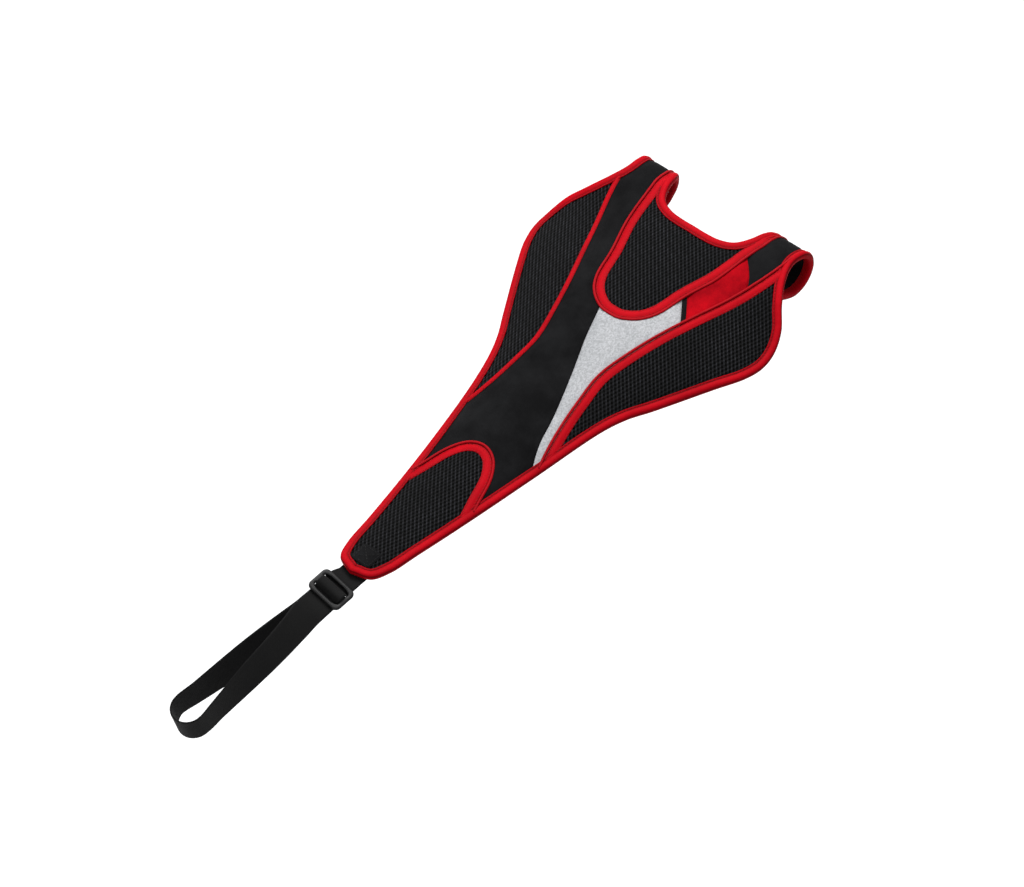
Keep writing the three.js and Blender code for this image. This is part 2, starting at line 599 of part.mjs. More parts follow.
// One length of webbing: sewn under the tail, through the slider over its middle bar, round
// the seat post and back below itself to a sewn loop round the same bar
function addStrap() {
  const stations = [];
  const add = (at, side) => stations.push({ at, side });
  const atSlider = (places) => places.forEach(([back, up]) => add(fromSlider(back, up), sliderAcross));
  const underTail = BINDING_LOW - GAP - STRAP_THICK / 2 - 1;
  [STRAP_ANCHOR_S, STRAP_ANCHOR_S + 10, STRAP_ANCHOR_S + 20, TAIL_S]
    .forEach((s) => add(bend(s, 0, underTail), left));
  const half = SLIDER_BAR / 2;
  const sliderHalf = SLIDER_LENGTH / 2;
  const first = -(SLIDER_THICK / 2 + GAP + STRAP_THICK / 2);
  const second = first - layer;
  const over = layer - first;
  const outer = half + GAP + STRAP_THICK / 2 + layer;
  atSlider([
    [-sliderHalf, first], [-outer - 1.4, first + 0.6], [-outer, 0.4], [-half - 0.6, over - 0.6], [0, over],
    [half + 0.6, over - 0.6], [outer, 0.4], [outer + 1.6, first + 0.5], [sliderHalf, first],
  ]);

  const wrapRadius = POST_RADIUS + GAP + STRAP_THICK / 2;
  const runStart = fromSlider(sliderHalf, (first + second) / 2);
  const run = (way) => RUNS.map(([t, degrees, parted]) => {
    const angle = THREE.MathUtils.degToRad(degrees);
    const at = runStart.clone().lerp(postCentre, t);
    at.addScaledVector(turnedFace(angle, postAxis), way * parted);
    return { at, side: turnedAcross(angle, postAxis) };
  });
  stations.push(...run(1));
  for (let degrees = 0; degrees <= 180; degrees += 22.5) {
    const a = THREE.MathUtils.degToRad(degrees);
    const at = postCentre.clone().addScaledVector(postRear, wrapRadius * Math.sin(a));
    add(at.addScaledVector(left, -wrapRadius * Math.cos(a)), postAxis);
  }
  stations.push(...run(-1).reverse());
  const inner = half + CLOTH_GAP + STRAP_THICK / 2;
  const insideOver = SLIDER_THICK / 2 + CLOTH_GAP + STRAP_THICK / 2;
  atSlider([
    [sliderHalf - 1, second], [inner + 1.8, second + 0.5], [inner, 0], [inner - 1, insideOver - 0.3],
    [0, insideOver], [1 - inner, insideOver - 0.3], [-inner, 0], [0.6 - inner, second + 0.4],
    [inner - 1, second - layer], [sliderHalf - 2, second - layer],
  ]);

  const path = new THREE.CatmullRomCurve3(stations.map(({ at }) => at));
  const rings = [];
  stations.forEach(({ side }, i) => {
    if (i === stations.length - 1) {
      rings.push({ at: path.getPoint(1), along: path.getTangent(1), side });
      return;
    }
    const steps = 2;
    for (let j = 0; j < steps; j += 1) {
      const t = (i + j / steps) / (stations.length - 1);
      rings.push({
        at: path.getPoint(t),
        along: path.getTangent(t),
        side: side.clone().lerp(stations[i + 1].side, j / steps),
      });
    }
  });
  const section = [[-1, -1], [1, -1], [1, 1], [-1, 1]];
  const skin = rings.map(({ at, along, side }) => {
    const wide = side.clone().addScaledVector(along, -side.dot(along)).normalize();
    const thick = new THREE.Vector3().crossVectors(along, wide);
    return section.map(([i, j]) => at.clone()
      .addScaledVector(wide, (i * STRAP_WIDTH) / 2)
      .addScaledVector(thick, (j * STRAP_THICK) / 2));
  });
  addMesh('strap_webbing', loft(skin), WEBBING_BLACK, 0.85);
}

// Moulded slider with two slots and a middle bar
function addSlider() {
  const long = SLIDER_LENGTH - 2 * SLIDER_BEVEL;
  const wide = STRAP_WIDTH + 2 * (GAP + SLIDER_RAIL) - 2 * SLIDER_BEVEL;
  const box = (shape, x0, x1, half, r) => {
    shape.moveTo(x0 + r, -half).lineTo(x1 - r, -half).quadraticCurveTo(x1, -half, x1, r - half);
    shape.lineTo(x1, half - r).quadraticCurveTo(x1, half, x1 - r, half).lineTo(x0 + r, half);
    shape.quadraticCurveTo(x0, half, x0, half - r).lineTo(x0, r - half);
    shape.quadraticCurveTo(x0, -half, x0 + r, -half);
    return shape;
  };
  const frame = box(new THREE.Shape(), -long / 2, long / 2, wide / 2, SLIDER_CORNER);
  const slotStart = SLIDER_BAR / 2 - SLIDER_BEVEL;
  const slotEnd = SLIDER_LENGTH / 2 - SLIDER_RAIL + SLIDER_BEVEL;
  const slotHalf = STRAP_WIDTH / 2 + GAP + SLIDER_BEVEL;
  frame.holes.push(box(new THREE.Path(), slotStart, slotEnd, slotHalf, 1));
  frame.holes.push(box(new THREE.Path(), -slotEnd, -slotStart, slotHalf, 1));
  const geometry = new THREE.ExtrudeGeometry(frame, {
    depth: SLIDER_THICK - 2 * SLIDER_BEVEL,
    bevelThickness: SLIDER_BEVEL,
    bevelSize: SLIDER_BEVEL,
    bevelSegments: 2,
    curveSegments: 4,
  });
  geometry.translate(0, 0, -(SLIDER_THICK / 2 - SLIDER_BEVEL));
  const slider = addMesh('strap_slider', geometry, '#2b2b2d', 0.4);
  const turned = new THREE.Matrix4().makeBasis(pull, sliderAcross.clone().negate(), sliderFace);
  slider.quaternion.setFromRotationMatrix(turned);
  slider.position.copy(sliderCentre);
}

// Reinforcement sewn on the tail, over the end of the strap
function addAnchorPatch() {
  const middleS = STRAP_ANCHOR_S + ANCHOR_LENGTH / 2 + 2;
  const sheet = blank([STRAP_ANCHOR_S - 8, TAIL_S], [-ANCHOR_WIDTH, ANCHOR_WIDTH], [TAPE_LOW, TAPE_TOP])
    .intersect(patch(middleS, 0, ANCHOR_LENGTH, ANCHOR_WIDTH)).intersect(cutters.inside);
  addCloth('strap_anchor_patch', sheet, '#1a1a1c', 0.9);
}

addPanels();
addMeshPanels();
addBacking();
addTab('left', 1);
addTab('right', -1);
addBinding();
addSeamTapes();
addStrap();
addSlider();
addAnchorPatch();

export default guard;
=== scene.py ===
"""Bicycle sweat guard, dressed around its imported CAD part.

Every cloth piece is cut flat and then bent, as in the CAD source. A flat place is s, the distance
back from the top of the handlebar, v, the distance to the left of the middle line, and n, the
height above the middle of the panel cloth, all in millimetres. Objects are in metres.
"""

import math

import bpy
import numpy as np
from mathutils import Matrix, Vector
from mathutils.geometry import delaunay_2d_cdt


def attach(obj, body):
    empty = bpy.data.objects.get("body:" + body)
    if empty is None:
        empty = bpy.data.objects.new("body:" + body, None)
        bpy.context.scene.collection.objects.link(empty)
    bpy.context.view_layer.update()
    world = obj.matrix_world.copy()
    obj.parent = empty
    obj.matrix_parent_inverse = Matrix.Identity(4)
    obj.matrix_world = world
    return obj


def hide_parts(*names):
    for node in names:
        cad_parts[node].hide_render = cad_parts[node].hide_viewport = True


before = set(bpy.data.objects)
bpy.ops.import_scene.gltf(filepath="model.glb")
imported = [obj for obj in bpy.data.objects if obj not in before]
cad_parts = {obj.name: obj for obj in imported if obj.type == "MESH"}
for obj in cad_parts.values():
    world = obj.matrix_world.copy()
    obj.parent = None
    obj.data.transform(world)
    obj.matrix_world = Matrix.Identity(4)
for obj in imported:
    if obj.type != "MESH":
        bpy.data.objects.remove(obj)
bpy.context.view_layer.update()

MM = 0.001
ROOT = "root"

# What the guard is fitted to, in millimetres
BAR_RADIUS = 15.9
POST_RADIUS = 13.6
POST_LEAN = math.radians(13.5)
POST_X = -639.5
POST_Z = -97.4

# Cloth layers, as in the CAD source
GAP = 0.3
CLOTH_GAP = 0.45
PANEL_THICK = 2
BACKING_THICK = 0.8
BINDING_THICK = 1
HOOK_THICK = 1.4
PILE_THICK = 1.2
PANEL_TOP = PANEL_THICK / 2
PANEL_LOW = -PANEL_THICK / 2
BACKING_TOP = PANEL_LOW - CLOTH_GAP
BACKING_LOW = BACKING_TOP - BACKING_THICK
TAPE_LOW = PANEL_TOP + CLOTH_GAP
BINDING_LOW = BACKING_LOW - CLOTH_GAP - BINDING_THICK
PATCH_TOP = BACKING_LOW - GAP
PILE_LOW = PATCH_TOP - PILE_THICK
HOOK_LOW = PATCH_TOP - HOOK_THICK

BINDING_WIDTH = 8.5
SEAM_TAPE_WIDTH = 7.6
SINGLE_TAPE_WIDTH = 4.6
PIPING_WIDTH = 2.2
PIPING_HEIGHT = 1.5

TAIL_S = 470
WING_V = 134.5
TAB_SEAM_S = -22
TAB_SIDE_S = -44
TAB_END_CORNER = 12
TAB_INNER_V = 61
TAB_OUTER_V = 95
LAP_START = 66
LAP_END = 104
LAP_DEPTH = -PILE_LOW + CLOTH_GAP - HOOK_LOW
HOOK_LENGTH = 22
HOOK_WIDTH = TAB_OUTER_V - TAB_INNER_V - 2 * (BINDING_WIDTH + 1)
PILE_WIDTH = 28
SIDE_BOW = 0.5

STRAP_WIDTH = 26
STRAP_THICK = 1.4
STRAP_ANCHOR_S = 438
ANCHOR_LENGTH = 19
ANCHOR_WIDTH = 24
SLIDER_BEHIND_TAIL = 21.6
SLIDER_LENGTH = 24
SLIDER_RAIL = 3.8
SLIDER_BAR = 4
SLIDER_THICK = 3.2
SLIDER_CORNER = 5
SLIDER_ROLL = math.radians(16)
SLOT_CORNER = 3
SLOT_CORNER_ACROSS = 7.5
# The two runs to the seat post: share of the way, turn in degrees, half the gap between them
RUNS = (
    (0.04, 19, 0.9), (0.12, 36, 3.2), (0.24, 52, 7.4), (0.37, 59, 10.2), (0.5, 64, 11.8), (0.63, 70, 12.4),
    (0.76, 78, 12.8), (0.88, 85, 13.4),
)


# Curves

def catmull(points, per_span=24):
    """Centripetal Catmull-Rom curve through points."""
    points = np.asarray(points, float)
    ends = [2 * points[0] - points[1], *points, 2 * points[-1] - points[-2]]
    t = np.linspace(0, 1, per_span, endpoint=False)[:, None]
    spans = []
    for a, b, c, d in zip(ends, ends[1:], ends[2:], ends[3:]):
        before, here, after = (max(np.linalg.norm(q - p) ** 0.5, 1e-4) for p, q in ((a, b), (b, c), (c, d)))
        start = ((b - a) / before - (c - a) / (before + here) + (c - b) / here) * here
        end = ((c - b) / here - (d - b) / (here + after) + (d - c) / after) * here
        spans.append(
            b + start * t + (3 * (c - b) - 2 * start - end) * t**2 + (2 * (b - c) + start + end) * t**3
        )
    return np.vstack([*spans, points[-1:]])


def bezier(a, b, c, d, count=400):
    t = np.linspace(0, 1, count)[:, None]
    a, b, c, d = (np.asarray(p, float) for p in (a, b, c, d))
    return a * (1 - t) ** 3 + 3 * b * t * (1 - t) ** 2 + 3 * c * t**2 * (1 - t) + d * t**3


def lengths(points):
    """Distance along a line of points, at each of them."""
    return np.concatenate([[0], np.cumsum(np.linalg.norm(np.diff(points, axis=0), axis=1))])


def read_at(at, along, values):
    """Rows of values at some distances along a line, from the rows at its own points."""
    return np.stack([np.interp(at, along, column) for column in np.transpose(values)], axis=-1)


def resample(points, step):
    along = lengths(points)
    count = max(int(round(along[-1] / step)), 1)
    return read_at(np.linspace(0, along[-1], count + 1), along, points)


class Line:
    """A curve in the XZ plane, read by the distance along it."""

    def __init__(self, points):
        self.points = points
        self.along = lengths(points)
        self.length = self.along[-1]
        self.slope = np.gradient(points, self.along, axis=0)

    def at(self, distance):
        d = np.clip(distance, 0, self.length)
        x, z = (np.interp(d, self.along, self.points[:, i]) for i in (0, 1))
        tx, tz = (np.interp(d, self.along, self.slope[:, i]) for i in (0, 1))
        size = np.hypot(tx, tz)
        beyond = np.maximum(distance - self.length, 0)
        return x + tx / size * beyond, z + tz / size * beyond, tx / size, tz / size


def smoothstep(x, low, high):
    t = np.clip((np.asarray(x, float) - low) / (high - low), 0, 1)
    return t * t * (3 - 2 * t)


# The hang of the cloth

LOOP_RADIUS = BAR_RADIUS + GAP - BINDING_LOW
MIDDLE_JOIN = (-200, -25.5)
spine = Line(
    np.vstack(
        [
            bezier((0, LOOP_RADIUS), (-45, LOOP_RADIUS), (-120, -2), MIDDLE_JOIN),
            bezier(MIDDLE_JOIN, (-275, -48.5), (-340, -66), (-460, -75.6))[1:],
        ]
    )
)
DROOPS = ((0, 88, 0.0029), (120, 300, 0.0045), (300, 470, 0.002))


def droop_at(s):
    return sum(curvature * smoothstep(s, start, end) for start, end, curvature in DROOPS)


def bar_point(degrees):
    a = math.radians(degrees)
    return np.array([LOOP_RADIUS * math.cos(a), LOOP_RADIUS * math.sin(a)])


def under_cloth(s):
    x, z, tx, tz = spine.at(s)
    return np.array([x - tz * LAP_DEPTH, z + tx * LAP_DEPTH])


def off_bar():
    """Three places on the way from the bar to the lap under the cloth."""
    _, _, tx, tz = spine.at(LAP_START)
    start, end = bar_point(-110), under_cloth(LAP_START)
    return list(bezier(start, start + bar_point(160), end - LOOP_RADIUS * np.array([tx, tz]), end, 5)[1:4])


girdle = Line(
    catmull(
        [bar_point(a) for a in (90, 60, 30, 0, -30, -60, -90, -110)]
        + off_bar()
        + [under_cloth(LAP_START + (LAP_END - LAP_START) * t) for t in (0, 0.17, 0.33, 0.5, 0.67, 0.83, 1)]
    )
)
LAP_LENGTH = LAP_END - LAP_START


# Soft unevenness of hanging cloth, shared by all its layers: place, reach and height
RIPPLES = (
    ((150, 34), (34, 16), 1.1),
    ((205, 8), (30, 22), -1.0),
    ((262, -6), (26, 30), 0.8),
    ((322, 22), (36, 16), -0.7),
    ((352, -18), (30, 14), 0.8),
    ((60, 78), (26, 12), -0.8),
    ((112, -98), (30, 14), 0.9),
    ((70, -112), (22, 12), -0.7),
    ((96, 104), (26, 16), 0.9),
    ((70, 0), (22, 26), -0.9),
    ((420, 6), (26, 14), 0.5),
    ((45, -72), (6, 11), 1.0),
    ((66, -56), (7, 10), -0.9),
    ((24, -70), (6, 10), -0.7),
)


def ripple(s, v):
    height = np.zeros_like(s)
    for (s0, v0), (reach_s, reach_v), size in RIPPLES:
        height += size * np.exp(-(((s - s0) / reach_s) ** 2) - ((v - v0) / reach_v) ** 2)
    return height * smoothstep(s, 20, 60)


def bend(s, v, n):
    """Takes flat places to the fitted guard, in metres."""
    s, v, n = np.broadcast_arrays(*(np.asarray(a, float) for a in (s, v, n)))
    n = n + ripple(s, v)
    x0, z0, tx0, tz0 = spine.at(s)
    x1, z1, tx1, tz1 = girdle.at(-s)
    lap = smoothstep(-s, girdle.length - 2 * LAP_LENGTH, girdle.length - LAP_LENGTH)
    cloth = droop_at(LAP_END - (girdle.length + s))
    back = s < 0
    x, z = np.where(back, x1, x0), np.where(back, z1, z0)
    nx, nz = np.where(back, -tz1, tz0), np.where(back, tx1, -tx0)
    droop = np.where(back, -lap * cloth / (1 - cloth * LAP_DEPTH), droop_at(s))
    flat = np.abs(droop) < 1e-6
    radius = 1 / np.where(flat, 1, droop)
    height = np.where(flat, n, (radius + n) * np.cos(v / radius) - radius)
    y = np.where(flat, v, (radius + n) * np.sin(v / radius))
    return np.stack([x + nx * height, y, z + nz * height], axis=-1) * MM


# The pattern: outline and seams, as in the CAD source

def mirrored(points):
    return points * [1, -1]


def curve(knots, step=1.0):
    return resample(catmull(knots), step)


NOTCH_EDGE = [
    [28, 0], [28, 14], [26.5, 27], [21, 39], [9, TAB_INNER_V - 14], [-8, TAB_INNER_V - 9],
    [-24, TAB_INNER_V - 3], [TAB_SIDE_S, TAB_INNER_V],
]
WING_EDGE = [
    [TAB_SIDE_S, TAB_OUTER_V], [-14, TAB_OUTER_V - 0.5], [9, TAB_OUTER_V - 1], [26, TAB_OUTER_V + 5],
    [45, WING_V - 22.5], [62, WING_V - 9], [80, WING_V - 1.5], [98, WING_V], [116, WING_V - 5],
    [142, WING_V - 19], [190, 88], [208, 77], [232, 67], [304, 50.5], [TAIL_S - 55, 30],
    [TAIL_S - 22, 24.5], [TAIL_S - 7, 17.5], [TAIL_S, 0],
]
TAB_END = 1 - girdle.length


def corner(centre_s, centre_v, start):
    a = start + np.linspace(0, math.pi / 2, 12)
    return np.stack([centre_s + TAB_END_CORNER * np.cos(a), centre_v - TAB_END_CORNER * np.sin(a)], axis=1)


def tab_side(a, b, bow):
    t = np.linspace(0, 1, 140)[1:-1, None]
    return a + (b - a) * t + np.array([0, bow]) * 4 * t * (1 - t)


notch_edge = curve(NOTCH_EDGE)
wing_edge = curve(WING_EDGE)
inner_corner = corner(TAB_END + TAB_END_CORNER, TAB_INNER_V + TAB_END_CORNER, math.pi / 2)
outer_corner = corner(TAB_END + TAB_END_CORNER, TAB_OUTER_V - TAB_END_CORNER, math.pi)
left_half = np.vstack(
    [
        notch_edge,
        tab_side(notch_edge[-1], inner_corner[0], -SIDE_BOW),
        inner_corner,
        outer_corner,
        tab_side(outer_corner[-1], wing_edge[0], SIDE_BOW),
        wing_edge,
    ]
)
outline = np.vstack([left_half[:-1], mirrored(left_half)[::-1][:-1]])

WING_SEAM = [
    [TAB_SEAM_S, TAB_OUTER_V + 4], [6, TAB_OUTER_V], [24, TAB_OUTER_V - 3], [53, 84], [77, 75.5],
    [103, 65.5], [137, 53], [165, 44.5], [195, 38], [218, 39.5], [250, 43.5], [282, 51], [320, 66],
]
VEE_HALF = [
    [8, TAB_INNER_V - 4.4], [15, TAB_INNER_V - 5.8], [24, TAB_INNER_V - 7.5], [57, 47.5], [89, 37],
    [116, 30], [128, 22], [136, 9],
]
ARCH_HALF = [[400, 46], [372, 35], [352, 28.5], [327, 20.7], [314, 11]]
# The tape of the V runs on along the tabs until the binding hides its ends
VEE_TAPE_AHEAD = [
    [-46, TAB_INNER_V + 1.3], [-32, TAB_INNER_V - 0.3], [-17, TAB_INNER_V - 2.2], [-6, TAB_INNER_V - 3.7],
]


def across(half, middle):
    """A line on both sides of the middle, from its left half."""
    return half + [[middle, 0]] + [[s, -v] for s, v in reversed(half)]


def softened(line, reach=14):
    """A line with its bends eased over a length, in points, and its ends kept."""
    padded = np.pad(line, ((reach, reach), (0, 0)), mode="reflect", reflect_type="odd")
    window = np.hanning(2 * reach + 3)[1:-1]
    window /= window.sum()
    return np.stack([np.convolve(padded[:, i], window, mode="valid") for i in range(2)], axis=1)


left_wing_seam = softened(curve(WING_SEAM))
right_wing_seam = mirrored(left_wing_seam)
vee_seam = curve(across(VEE_HALF, 137))
vee_tape_line = curve(across(VEE_TAPE_AHEAD + VEE_HALF, 137))
arch_seam = curve(across(ARCH_HALF, 310))
silver_edge = curve([[122, 20], [140, 11.7], [171, 1.2], [210, -14.5], [247, -27.6], [279, -37], [330, -66]])
insert_back = curve([[84, -33], [98, -44.5], [131, -68]])
insert_front = insert_back - [3.6, 2.8]
red_end = curve([[16, -46], [30, -61.6], [42, -73], [70, -89]])


def offset(points, distance, closed=False):
    """Moves a line of points sideways, to its right for a positive distance."""
    if closed:
        along = np.roll(points, -1, axis=0) - np.roll(points, 1, axis=0)
    else:
        along = np.gradient(points, axis=0)
    along = along / np.linalg.norm(along, axis=1)[:, None]
    return points + np.stack([along[:, 1], -along[:, 0]], axis=1) * np.reshape(distance, (-1, 1))


def in_chunks(function, points, size=2000):
    if len(points) == 0:
        return function(points)
    return np.concatenate([function(points[i : i + size]) for i in range(0, len(points), size)])


def inside(points, polygon):
    """Which points lie inside a closed polygon."""
    ax, ay = polygon.T
    bx, by = np.roll(polygon, -1, axis=0).T

    def crossed(chunk):
        x, y = chunk[:, :1], chunk[:, 1:2]
        crosses = (ay > y) != (by > y)
        with np.errstate(divide="ignore", invalid="ignore"):
            at = ax + (y - ay) * (bx - ax) / (by - ay)
        return np.sum(crosses & (x < at), axis=1) % 2 == 1

    return in_chunks(crossed, points)


def distance_to(points, lines):
    """Distance from each point to the nearest of some lines."""

    def nearest(chunk):
        best = np.full(len(chunk), 1e9)
        for line in lines:
            a, b = line[:-1], line[1:]
            ab = b - a
            size = np.maximum(np.sum(ab**2, axis=1), 1e-12)
            ap = chunk[:, None, :] - a[None]
            t = np.clip(np.sum(ap * ab, axis=2) / size, 0, 1)
            gap = ap - t[..., None] * ab
            best = np.minimum(best, np.sqrt(np.min(np.sum(gap**2, axis=2), axis=1)))
        return best

    return in_chunks(nearest, points)


FAR = 400
cloth_edge = offset(outline, BINDING_THICK + GAP, closed=True)
under_binding = offset(outline, 0.45 * BINDING_WIDTH, closed=True)

left_wing = np.vstack([left_wing_seam, [[left_wing_seam[-1][0], FAR], [left_wing_seam[0][0], FAR]]])
right_wing = mirrored(left_wing)
arch_region = np.vstack([arch_seam, [[FAR + 200, arch_seam[-1][1]], [FAR + 200, arch_seam[0][1]]]])


def ahead_of(line):
    return np.vstack([line, [[line[-1][0], -FAR], [-FAR, -FAR], [-FAR, line[0][1]]]])


# Flat meshes cut from the cloth by its seams

def within_branch(line):
    """The stretch of a join that runs between the front triangle and the right wing."""
    close = resample(line, 0.3)
    return close[~inside(close, vee_seam) & ~inside(close, right_wing)]


SEAM_STEP = 2.2
SEAM_LINES = {
    "left_wing": resample(left_wing_seam, SEAM_STEP),
    "right_wing": resample(right_wing_seam, SEAM_STEP),
    "vee": resample(vee_seam, SEAM_STEP),
    "arch": resample(arch_seam, SEAM_STEP),
    "silver": resample(within_branch(silver_edge), SEAM_STEP),
    "insert_back": resample(within_branch(insert_back), SEAM_STEP),
    "insert_front": resample(within_branch(insert_front), SEAM_STEP),
    "red_end": resample(within_branch(red_end), SEAM_STEP),
}


def panel_of(points):
    """Name of the panel that each flat place belongs to."""
    names = np.full(len(points), "centre_panel", dtype=object)
    branch = inside(points, ahead_of(silver_edge))
    names[branch] = "silver_panel"
    names[branch & inside(points, ahead_of(insert_back))] = "black_insert"
    names[branch & inside(points, ahead_of(insert_front))] = "red_panel"
    names[branch & inside(points, ahead_of(red_end))] = "right_loop_panel"
    names[inside(points, arch_region)] = "tail_mesh_panel"
    names[inside(points, vee_seam)] = "front_mesh_panel"
    names[inside(points, left_wing)] = "left_mesh_panel"
    names[inside(points, right_wing)] = "right_mesh_panel"
    tab = points[:, 0] < TAB_SEAM_S
    names[tab] = "tab"
    return names


MESH_PANELS = ("left_mesh_panel", "right_mesh_panel", "front_mesh_panel", "tail_mesh_panel")
CELL = 2.6

# The knitted mesh: columns of long holes between raised ribs, each column half a hole further on
MESH_TURN = math.radians(-41)
COLUMN_PITCH = 3.25
HOLE_PITCH = 3.6
HOLE_LONG = 1.2
HOLE_WIDE = 0.82
RIM = 0.34
HOLE_DEPTH = 1.25
RIB_RISE = 0.42
MESH_MIDDLE = (200, 0)
MESH_REACH = 420
TURN_COS = math.cos(MESH_TURN)
TURN_SIN = math.sin(MESH_TURN)
TO_KNIT = np.array([[TURN_COS, -TURN_SIN], [TURN_SIN, TURN_COS]])
FROM_KNIT = np.array([[TURN_COS, TURN_SIN], [-TURN_SIN, TURN_COS]])
# Points of the net between the holes, in columns and holes from the nearest hole
NET = ((0, 0.5), (0.25, 0.5), (0.5, 0.5), (-0.25, 0.5), (0.5, 0), (0, -0.5), (0.25, -0.5), (-0.25, -0.5))


def in_mesh(points):
    return np.isin(panel_of(points), MESH_PANELS)


def to_knit(points):
    """Flat places as distances along and across the columns of the mesh."""
    return (points - MESH_MIDDLE) @ TO_KNIT


def knit_cell(points):
    """Column and row of the nearest hole, and the place seen from its centre."""
    along, wide = to_knit(points).T
    column = np.round(wide / COLUMN_PITCH).astype(int)
    shift = np.where(column % 2, HOLE_PITCH / 2, 0)
    row = np.round((along - shift) / HOLE_PITCH).astype(int)
    return column, row, along - shift - row * HOLE_PITCH, wide - column * COLUMN_PITCH


def closed_line(points):
    return np.vstack([points, points[:1]])


def counted(pitch):
    """Whole numbers of a pitch either way from the middle of the mesh."""
    return np.arange(-int(MESH_REACH / pitch), int(MESH_REACH / pitch) + 1)


def hole_centres():
    """Places of the holes of the knitted mesh that lie clear of the seams and the edge."""
    column, row = (a.ravel() for a in np.meshgrid(counted(COLUMN_PITCH), counted(HOLE_PITCH), indexing="ij"))
    along = row * HOLE_PITCH + np.where(column % 2, HOLE_PITCH / 2, 0)
    centres = np.stack([along, column * COLUMN_PITCH], axis=1) @ FROM_KNIT + MESH_MIDDLE
    s, v = centres.T
    centres = centres[(s > TAB_SEAM_S - 3) & (s < TAIL_S) & (np.abs(v) < WING_V)]
    centres = centres[inside(centres, cloth_edge)]
    centres = centres[in_mesh(centres)]
    clear = distance_to(centres, [*SEAM_LINES.values(), closed_line(resample(outline, 4))])
    return centres[clear > HOLE_LONG + RIM + 1]


def oval(centres, long, wide, count):
    """Points round an oval at each centre, in line with the columns of the mesh."""
    a = np.arange(count) * 2 * math.pi / count
    around = np.stack([np.cos(a) * long, np.sin(a) * wide], axis=1) @ FROM_KNIT
    return (centres[:, None, :] + around[None]).reshape(-1, 2)


def triangulate(rings, chains, loose, keep):
    """Triangles over flat points, along the given rings and chains, where their middles are to keep."""
    edges, start = [], 0
    for i, line in enumerate([*rings, *chains]):
        last = start + len(line) - 1
        edges += [(at, at + 1) for at in range(start, last)]
        if i < len(rings):
            edges.append((last, start))
        start = last + 1
    points = [Vector(p) for p in np.vstack([*rings, *chains, *loose])]
    verts, _, faces, *_ = delaunay_2d_cdt(points, edges, [], 0, 1e-4)
    flat = np.array([v[:] for v in verts])
    cut = np.array([f[:] for f in faces if len(f) == 3])
    return flat, cut[keep(flat[cut].mean(axis=1))]


def grid_within(low, high, steps, keep, shift=0.0):
    """Places in rows and columns, every second column moved by a shift, that are to keep."""
    axes = [np.arange(a, b, step) for a, b, step in zip(low, high, steps)]
    grid = np.stack(np.meshgrid(*axes, indexing="ij"), axis=-1)
    grid[1::2, :, 1] += shift
    grid = grid.reshape(-1, 2)
    return grid[keep(grid)]


holes = hole_centres()


def cut_cloth():
    """Triangles of the whole top cloth, split into its panels."""

    def on_cloth(points):
        return inside(points, cloth_edge)

    edge = resample(closed_line(cloth_edge), SEAM_STEP)[:-1]
    seam_v = np.linspace(-TAB_OUTER_V - 15, TAB_OUTER_V + 15, 90)
    tab_seam = np.stack([np.full(len(seam_v), TAB_SEAM_S), seam_v], axis=1)
    seams = list(SEAM_LINES.values())
    lines = [closed_line(edge), *seams]
    low, high = (TAB_SEAM_S + CELL / 2, -WING_V), (TAIL_S, WING_V)
    grid = grid_within(low, high, (CELL * 0.9, CELL), on_cloth, CELL / 2)
    clear = distance_to(grid, lines)
    grid = grid[(~in_mesh(grid) | (clear < 2.4)) & (clear > CELL * 0.35)]
    ribs = np.array(NET) * [HOLE_PITCH, COLUMN_PITCH] @ FROM_KNIT
    net = np.unique(np.round((holes[:, None, :] + ribs[None]).reshape(-1, 2), 2), axis=0)
    net = net[distance_to(net, lines) > 0.8]
    inner = oval(holes, HOLE_LONG, HOLE_WIDE, 8)
    rim = oval(holes, HOLE_LONG + RIM, HOLE_WIDE + RIM, 12)
    verts, faces = triangulate([edge], [*seams, tab_seam], [grid, holes, inner, rim, net], on_cloth)
    return verts, faces, panel_of(verts[faces].mean(axis=1))


# Making objects

def make_object(name, positions, faces, flat=None, relief=None):
    mesh = bpy.data.meshes.new(name)
    mesh.from_pydata([tuple(p) for p in positions], [], [tuple(int(i) for i in f) for f in faces])
    mesh.validate()
    mesh.update()
    if flat is not None:
        data = mesh.attributes.new("flat", "FLOAT_VECTOR", "POINT").data
        data.foreach_set("vector", (np.asarray(flat, np.float32) * MM).ravel())
    # The relief attribute holds the painted shade, from 0 where darkest to 1 where the colour is full
    if relief is not None:
        data = mesh.attributes.new("relief", "FLOAT", "POINT").data
        data.foreach_set("value", np.asarray(relief, np.float32))
    mesh.shade_smooth()
    obj = bpy.data.objects.new(name, mesh)
    bpy.context.scene.collection.objects.link(obj)
    return obj


def dress(obj, material, slot_name, *nodes):
    """Gives a new piece its material and the body it rides on, and hides the CAD nodes it stands for. The
    slot name is not used.
    """
    obj.data.materials.append(material)
    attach(obj, ROOT)
    if nodes:
        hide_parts(*nodes)
    return obj


def border(faces):
    """Directed edges that belong to one triangle only."""
    pairs = np.vstack([faces[:, [0, 1]], faces[:, [1, 2]], faces[:, [2, 0]]]).tolist()
    seen = {(a, b) for a, b in pairs}
    return [(a, b) for a, b in pairs if (b, a) not in seen]


def twice_area(flat, faces):
    """Twice the area of each flat triangle, above zero where it runs anticlockwise."""
    a, b, c = (flat[faces[:, i]] for i in range(3))
    return (b[:, 0] - a[:, 0]) * (c[:, 1] - a[:, 1]) - (b[:, 1] - a[:, 1]) * (c[:, 0] - a[:, 0])


